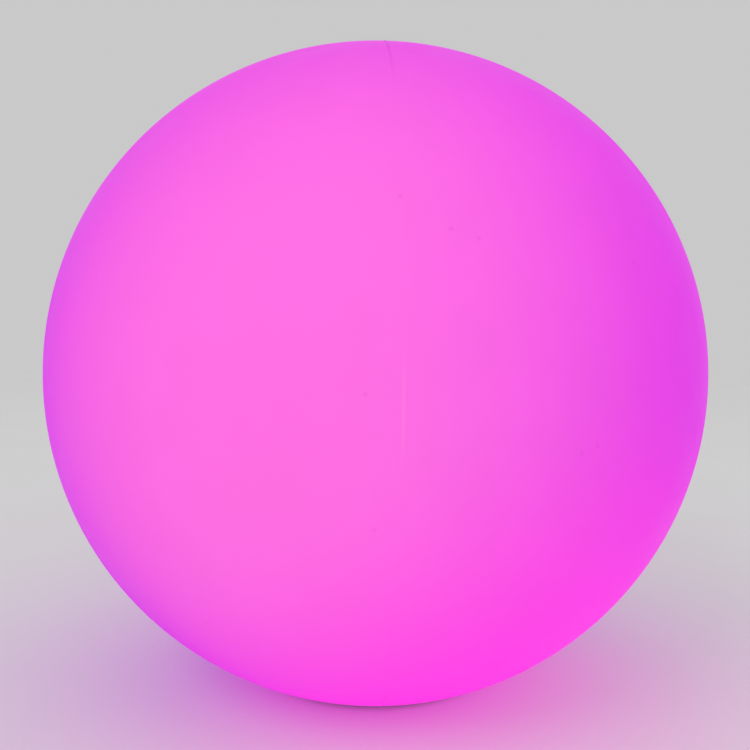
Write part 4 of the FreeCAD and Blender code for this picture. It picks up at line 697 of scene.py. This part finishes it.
def globe_inside(sizes):
    """What is taken out of the ball: its inside, the neck, the recess and all below the foot ring."""
    bm = bmesh.new()
    centre = Vector((0, 0, sizes.centre_height))
    inner = sizes.radius - sizes.wall
    gutter = sizes.recess_radius + sizes.wall
    neck_outside = sizes.neck_radius + sizes.wall
    below = -sizes.radius / 5
    vert = bm.verts.new(centre + Vector((0, 0, inner)))
    vert = sweep(bm, vert, centre, (0, 1, 0), math.pi - math.asin(gutter / inner), ARC_STEPS)
    for corner in (
        (gutter, sizes.recess_top + sizes.wall),
        (neck_outside, sizes.recess_top + sizes.wall),
        (neck_outside, sizes.neck_top),
        (sizes.neck_radius, sizes.neck_top),
        (sizes.neck_radius, sizes.recess_top),
        (sizes.recess_radius, sizes.recess_top),
        (sizes.recess_radius, sizes.foot_plane),
        (sizes.radius, sizes.foot_plane),
        (sizes.radius, below),
        (0, below),
    ):
        vert = draw_to(bm, vert, corner)
    turn_round(bm, (0, 0, 0), (0, 0, 1), INSIDE_STEPS)
    return bm


def helper(name, bm):
    """An object that only lends its shape."""
    mesh = bpy.data.meshes.new(name)
    bm.to_mesh(mesh)
    bm.free()
    thing = bpy.data.objects.new(name, mesh)
    bpy.context.scene.collection.objects.link(thing)
    return thing


def cut_from(whole, cutter):
    """A bmesh of whole with cutter taken out of it. Both helpers are removed."""
    modifier = whole.modifiers.new("cut", "BOOLEAN")
    modifier.object = cutter
    modifier.operation = "DIFFERENCE"
    modifier.solver = "EXACT"
    bpy.context.view_layer.update()
    shown = whole.evaluated_get(bpy.context.evaluated_depsgraph_get())
    bm = bmesh.new()
    bm.from_mesh(shown.to_mesh())
    shown.to_mesh_clear()
    for thing in (whole, cutter):
        mesh = thing.data
        bpy.data.objects.remove(thing)
        bpy.data.meshes.remove(mesh)
    return bm


def round_edges(bm, edges, width, segments=2):
    """Round some edges with a bevel."""
    bmesh.ops.bevel(
        bm,
        geom=edges,
        offset=width,
        offset_type="OFFSET",
        segments=segments,
        profile=0.5,
        affect="EDGES",
        clamp_overlap=True,
        material=-1,
    )


def sharp_edges(bm, degrees):
    """The edges between two faces that meet at more than this angle."""
    least = math.radians(degrees)
    return [edge for edge in bm.edges if edge.is_manifold and edge.calc_face_angle(0) > least]


def lies_at(vert, height):
    """Whether a vertex is at that height."""
    return abs(vert.co.z - height) < 1e-6


def foot(sizes):
    """One rubber foot: a round pad with a rolled edge and a shallow dish in its sole."""
    bm = bmesh.new()
    bmesh.ops.create_circle(bm, cap_ends=True, segments=FOOT_STEPS, radius=sizes.foot_radius)
    sole = next(iter(bm.faces))
    rim = bmesh.ops.extrude_face_region(bm, geom=[sole])
    top = [item for item in rim["geom"] if isinstance(item, bmesh.types.BMVert)]
    bmesh.ops.translate(bm, verts=top, vec=(0, 0, sizes.foot_height))
    bmesh.ops.recalc_face_normals(bm, faces=bm.faces)
    under = [edge for edge in bm.edges if all(lies_at(vert, 0) for vert in edge.verts)]
    round_edges(bm, under, 0.001, 4)
    sole = min(bm.faces, key=lambda face: face.calc_center_median().z)
    bmesh.ops.inset_individual(bm, faces=[sole], thickness=0.0009)
    bmesh.ops.inset_individual(bm, faces=[sole], thickness=0.0004, depth=-0.0003)
    bmesh.ops.translate(bm, verts=bm.verts, vec=(sizes.foot_circle, 0, 0))
    return bm


def feet(sizes):
    """All the rubber feet, round the upright axis."""
    bm = foot(sizes)
    first = list(bm.verts) + list(bm.edges) + list(bm.faces)
    for index in range(1, sizes.foot_count):
        copy = bmesh.ops.duplicate(bm, geom=first)["geom"]
        verts = [item for item in copy if isinstance(item, bmesh.types.BMVert)]
        turn = Matrix.Rotation(math.tau * index / sizes.foot_count, 3, "Z")
        bmesh.ops.rotate(bm, cent=(0, 0, 0), matrix=turn, verts=verts)
    return bm


def button_cap(sizes):
    """The power button: a dished cap with a ring groove, a rounded rim, a waist, a lip and a stem."""
    radius, face = sizes.button_radius, sizes.button_face
    waist, waist_low, waist_high = radius - 0.00105, 0.00435, 0.00565
    lip, lip_low, lip_high = radius + 0.0014, 0.0071, 0.0084
    stem, stem_top = 0.0022, 0.0108
    bm = bmesh.new()
    vert = bm.verts.new((0, 0, face + BUTTON_DISH))
    for share, depth in BUTTON_FACE:
        vert = draw_to(bm, vert, (radius * share, face + depth))
    for corner in (
        (radius, waist_low),
        (waist, waist_low),
        (waist, waist_high),
        (radius, waist_high),
        (radius, lip_low),
        (lip, lip_low),
        (lip, lip_high),
        (stem, lip_high),
        (stem, stem_top),
        (0, stem_top),
    ):
        vert = draw_to(bm, vert, corner)
    turn_round(bm, (0, 0, 0), (0, 0, 1), BUTTON_STEPS)
    bmesh.ops.translate(bm, verts=bm.verts, vec=(sizes.button_reach, 0, 0))
    return bm


def modelled(node_name):
    """A merged copy of a modelled piece's triangles, without those that have no area."""
    node = frame["nodes"][node_name]
    bm = bmesh.new()
    bm.from_mesh(node.data)
    bm.transform(node.matrix_world)
    clean(bm)
    return bm


def flap_skin(sizes):
    """The port flap with grip grooves near its free end and softened lower edges."""
    bm = modelled("port_flap")
    bmesh.ops.dissolve_limit(bm, angle_limit=math.radians(0.5), verts=bm.verts, edges=bm.edges)
    whole = helper("flap_whole", bm)
    bm = bmesh.new()
    for index in range(GRIP_COUNT):
        along = sizes.flap_end - GRIP_FIRST - GRIP_PITCH * index
        middle = Matrix.Translation((along, 0, sizes.flap_face))
        bmesh.ops.create_cube(bm, size=1, matrix=middle @ Matrix.Diagonal((*GRIP_BLOCK, 1)))
    bm = cut_from(whole, helper("flap_grooves", bm))
    clean(bm)
    face = [edge for edge in sharp_edges(bm, 60) if all(lies_at(v, sizes.flap_face) for v in edge.verts)]
    round_edges(bm, face, 0.0002)
    clean(bm)
    return bm


# ---------------------------------------------------------------- stage


def stage_material(colours):
    """The pale floor: faded away far off, clear from below, and open to light close under a piece."""
    material, tree, shader, where = new_material("studio_floor")
    texture = place(tree, "Moulded grain", {"Vector": where, "Grain Size": 0.004})
    link(tree, shades(tree, texture.outputs["Cloud"], colours.floor, 0.99), shader, "Base Color")
    shader.inputs["Roughness"].default_value = 0.9
    shader.inputs["Specular IOR Level"].default_value = 0.1
    clear = add(tree, "ShaderNodeBsdfTransparent").outputs["BSDF"]
    under = add(tree, "ShaderNodeNewGeometry").outputs["Backfacing"]
    close = calc(tree, "LESS_THAN", add(tree, "ShaderNodeLightPath").outputs["Ray Length"], FLOOR_CLOSE)
    far = remap(tree, aim(tree, "LENGTH", where).outputs["Value"], *FLOOR_FADE)
    open_way = calc(tree, "MAXIMUM", calc(tree, "MAXIMUM", under, close), far)
    both = add(tree, "ShaderNodeMixShader", {"Fac": open_way, 1: shader.outputs["BSDF"], 2: clear})
    tree.links.new(both.outputs["Shader"], tree.nodes["Material Output"].inputs["Surface"])
    return material


def studio_world():
    """An even pale world: one level lights the object, another is seen."""
    world = bpy.data.worlds.new("studio_world")
    bpy.context.scene.world = world
    world.use_nodes = True
    tree = world.node_tree
    tree.nodes.clear()
    path = add(tree, "ShaderNodeLightPath").outputs
    looks = calc(tree, "MAXIMUM", path["Is Camera Ray"], path["Is Glossy Ray"])
    looks = calc(tree, "MAXIMUM", looks, path["Is Transmission Ray"])
    level = remap(tree, looks, 0, 1, WORLD_LIGHT, WORLD_SEEN, "LINEAR")
    back = add(tree, "ShaderNodeBackground", {"Color": (1, 1, 1, 1), "Strength": level})
    out = add(tree, "ShaderNodeOutputWorld")
    tree.links.new(back.outputs["Background"], out.inputs["Surface"])


def turn_to(start, end):
    """The turn of a lamp or a camera at start that makes it face end."""
    return (Vector(end) - Vector(start)).to_track_quat("-Z", "Y")


def soft_lamp(name, stand, middle, power):
    """One large soft lamp that faces the middle."""
    data = bpy.data.lights.new(name, "AREA")
    data.shape = "DISK"
    data.size = LAMP_SIZE
    data.energy = power
    lamp = bpy.data.objects.new(name, data)
    lamp.location = stand
    lamp.rotation_euler = turn_to(stand, middle).to_euler()
    bpy.context.scene.collection.objects.link(lamp)


def photo_camera(middle):
    """The camera, from the photograph's side."""
    camera = bpy.data.objects.new("camera", bpy.data.cameras.new("camera"))
    camera.data.lens = CAMERA_LENS
    camera.data.sensor_width = CAMERA_SENSOR
    camera.location = CAMERA_PLACE
    level = turn_to(CAMERA_PLACE, middle + Vector(CAMERA_AIM))
    camera.rotation_euler = (level @ Quaternion((0, 0, 1), CAMERA_ROLL)).to_euler()
    bpy.context.scene.collection.objects.link(camera)
    return camera


# ---------------------------------------------------------------- operators


class GLOBELIGHT_OT_stage(bpy.types.Operator):
    """Make the floor, the studio light and the camera"""

    bl_idname = "globelight.stage"
    bl_label = "Stage"

    def execute(self, context):
        bm = bmesh.new()
        bmesh.ops.create_grid(bm, x_segments=2, y_segments=2, size=FLOOR_REACH)
        floor = helper("floor", bm)
        floor.data.materials.append(stage_material(context.scene.globe_colours))
        studio_world()
        middle = Vector((0, 0, context.scene.globe_sizes.centre_height))
        for name, stand, power in LAMPS:
            soft_lamp(name, stand, middle, power)
        context.scene.camera = photo_camera(middle)
        context.scene.view_settings.view_transform = "Standard"
        return {"FINISHED"}


class GLOBELIGHT_OT_globe(bpy.types.Operator):
    """Make the moulded globe, and dress the collar and the gasket in its neck"""

    bl_idname = "globelight.globe"
    bl_label = "Globe"

    def execute(self, context):
        sizes, colours = context.scene.globe_sizes, context.scene.globe_colours
        bm = cut_from(helper("ball", ball(sizes)), helper("inside", globe_inside(sizes)))
        clean(bm)
        # Sharp edges are rounded up to just above the neck.
        top = sizes.neck_top + 0.003
        low = [edge for edge in sharp_edges(bm, 30) if all(vert.co.z < top for vert in edge.verts)]
        round_edges(bm, low, sizes.edge)
        globe_plastic(sizes, colours)
        new_piece("globe_skin", bm, "globe", "globe_opal", "globe_shell")
        dress(context, "globe_shell", "neck_collar", "neck_gasket")
        return {"FINISHED"}


class GLOBELIGHT_OT_base(bpy.types.Operator):
    """Make the rubber feet, and dress the housing and everything fitted into its underside"""

    bl_idname = "globelight.base"
    bl_label = "Base"

    def execute(self, context):
        dress(context, "base_housing", "rubber_feet", "bottom_cover", "cover_gasket", "cover_screws")
        dress(context, "status_lens", "breather_vent")
        new_piece("foot_pads", feet(context.scene.globe_sizes), "base", "black_rubber", "rubber_feet")
        return {"FINISHED"}


class GLOBELIGHT_OT_port(bpy.types.Operator):
    """Dress the charging jack, its gasket, its flap and the flap's pin"""

    bl_idname = "globelight.port"
    bl_label = "Charging port"

    def execute(self, context):
        dress(context, "port_flap", "flap_pin", "charging_jack", "jack_gasket")
        flap = flap_skin(context.scene.globe_sizes)
        new_piece("flap_skin", flap, "flap", "button_rubber", "port_flap")
        return {"FINISHED"}


class GLOBELIGHT_OT_button(bpy.types.Operator):
    """Dress the power button, its sealing ring, its plunger and its switch"""

    bl_idname = "globelight.button"
    bl_label = "Power button"

    def execute(self, context):
        dress(context, "power_button", "button_ring", "switch_plunger", "push_switch")
        cap = button_cap(context.scene.globe_sizes)
        new_piece("button_cap", cap, "button", "button_rubber", "power_button")
        return {"FINISHED"}


class GLOBELIGHT_OT_board(bpy.types.Operator):
    """Dress the control board and what is soldered to it"""

    bl_idname = "globelight.board"
    bl_label = "Control board"

    def execute(self, context):
        dress(context, "control_board", "board_screws", "status_lamp", "controller_chip", "lamp_drivers")
        dress(context, "charge_coil", "radio_module", "filter_capacitors", "lamp_socket", "battery_socket")
        return {"FINISHED"}


class GLOBELIGHT_OT_battery(bpy.types.Operator):
    """Dress the battery: its cells, links, tray, strap and leads"""

    bl_idname = "globelight.battery"
    bl_label = "Battery"

    def execute(self, context):
        dress(context, "rear_cell", "front_cell", "cell_links", "battery_tray", "battery_strap")
        dress(context, "strap_screws", "battery_leads")
        return {"FINISHED"}


class GLOBELIGHT_OT_lamp_head(bpy.types.Operator):
    """Dress the lamp head: its plate, board, emitters, dome, seal, clamp ring, screws and leads"""

    bl_idname = "globelight.lamp_head"
    bl_label = "Lamp head"

    def execute(self, context):
        dress(context, "heat_plate", "lamp_board", "lamp_board_screws", "lamp_emitters", "diffuser_dome")
        dress(context, "dome_seal", "dome_clamp_ring", "clamp_screws", "lamp_leads")
        new_piece("dome_skin", modelled("diffuser_dome"), "base", "dome_frost", "diffuser_dome")
        new_piece("emitter_skins", modelled("lamp_emitters"), "base", "emitter_white", "lamp_emitters")
        return {"FINISHED"}


OPERATORS = (
    GLOBELIGHT_OT_stage,
    GLOBELIGHT_OT_globe,
    GLOBELIGHT_OT_base,
    GLOBELIGHT_OT_port,
    GLOBELIGHT_OT_button,
    GLOBELIGHT_OT_board,
    GLOBELIGHT_OT_battery,
    GLOBELIGHT_OT_lamp_head,
)


class GLOBELIGHT_PT_panel(bpy.types.Panel):
    """Lists the steps that make the light."""

    bl_label = "Garden Globe Light"
    bl_idname = "GLOBELIGHT_PT_panel"
    bl_space_type = "VIEW_3D"
    bl_region_type = "UI"
    bl_category = "Globe Light"

    def draw(self, context):
        for operator in OPERATORS:
            self.layout.operator(operator.bl_idname)
        for settings in (context.scene.globe_sizes, context.scene.globe_colours):
            box = self.layout.box()
            for name in settings.bl_rna.properties.keys():
                if name not in ("rna_type", "name"):
                    box.prop(settings, name)


CLASSES = (GlobeSizes, GlobeColours, *OPERATORS, GLOBELIGHT_PT_panel)


def register():
    for item in CLASSES:
        bpy.utils.register_class(item)
    bpy.types.Scene.globe_sizes = PointerProperty(type=GlobeSizes)
    bpy.types.Scene.globe_colours = PointerProperty(type=GlobeColours)


def unregister():
    del bpy.types.Scene.globe_colours
    del bpy.types.Scene.globe_sizes
    for item in reversed(CLASSES):
        bpy.utils.unregister_class(item)


def main():
    register()
    for operator in OPERATORS:
        step = operator.bl_idname.split(".")[1]
        getattr(bpy.ops.globelight, step)()


if __name__ == "__main__":
    main()
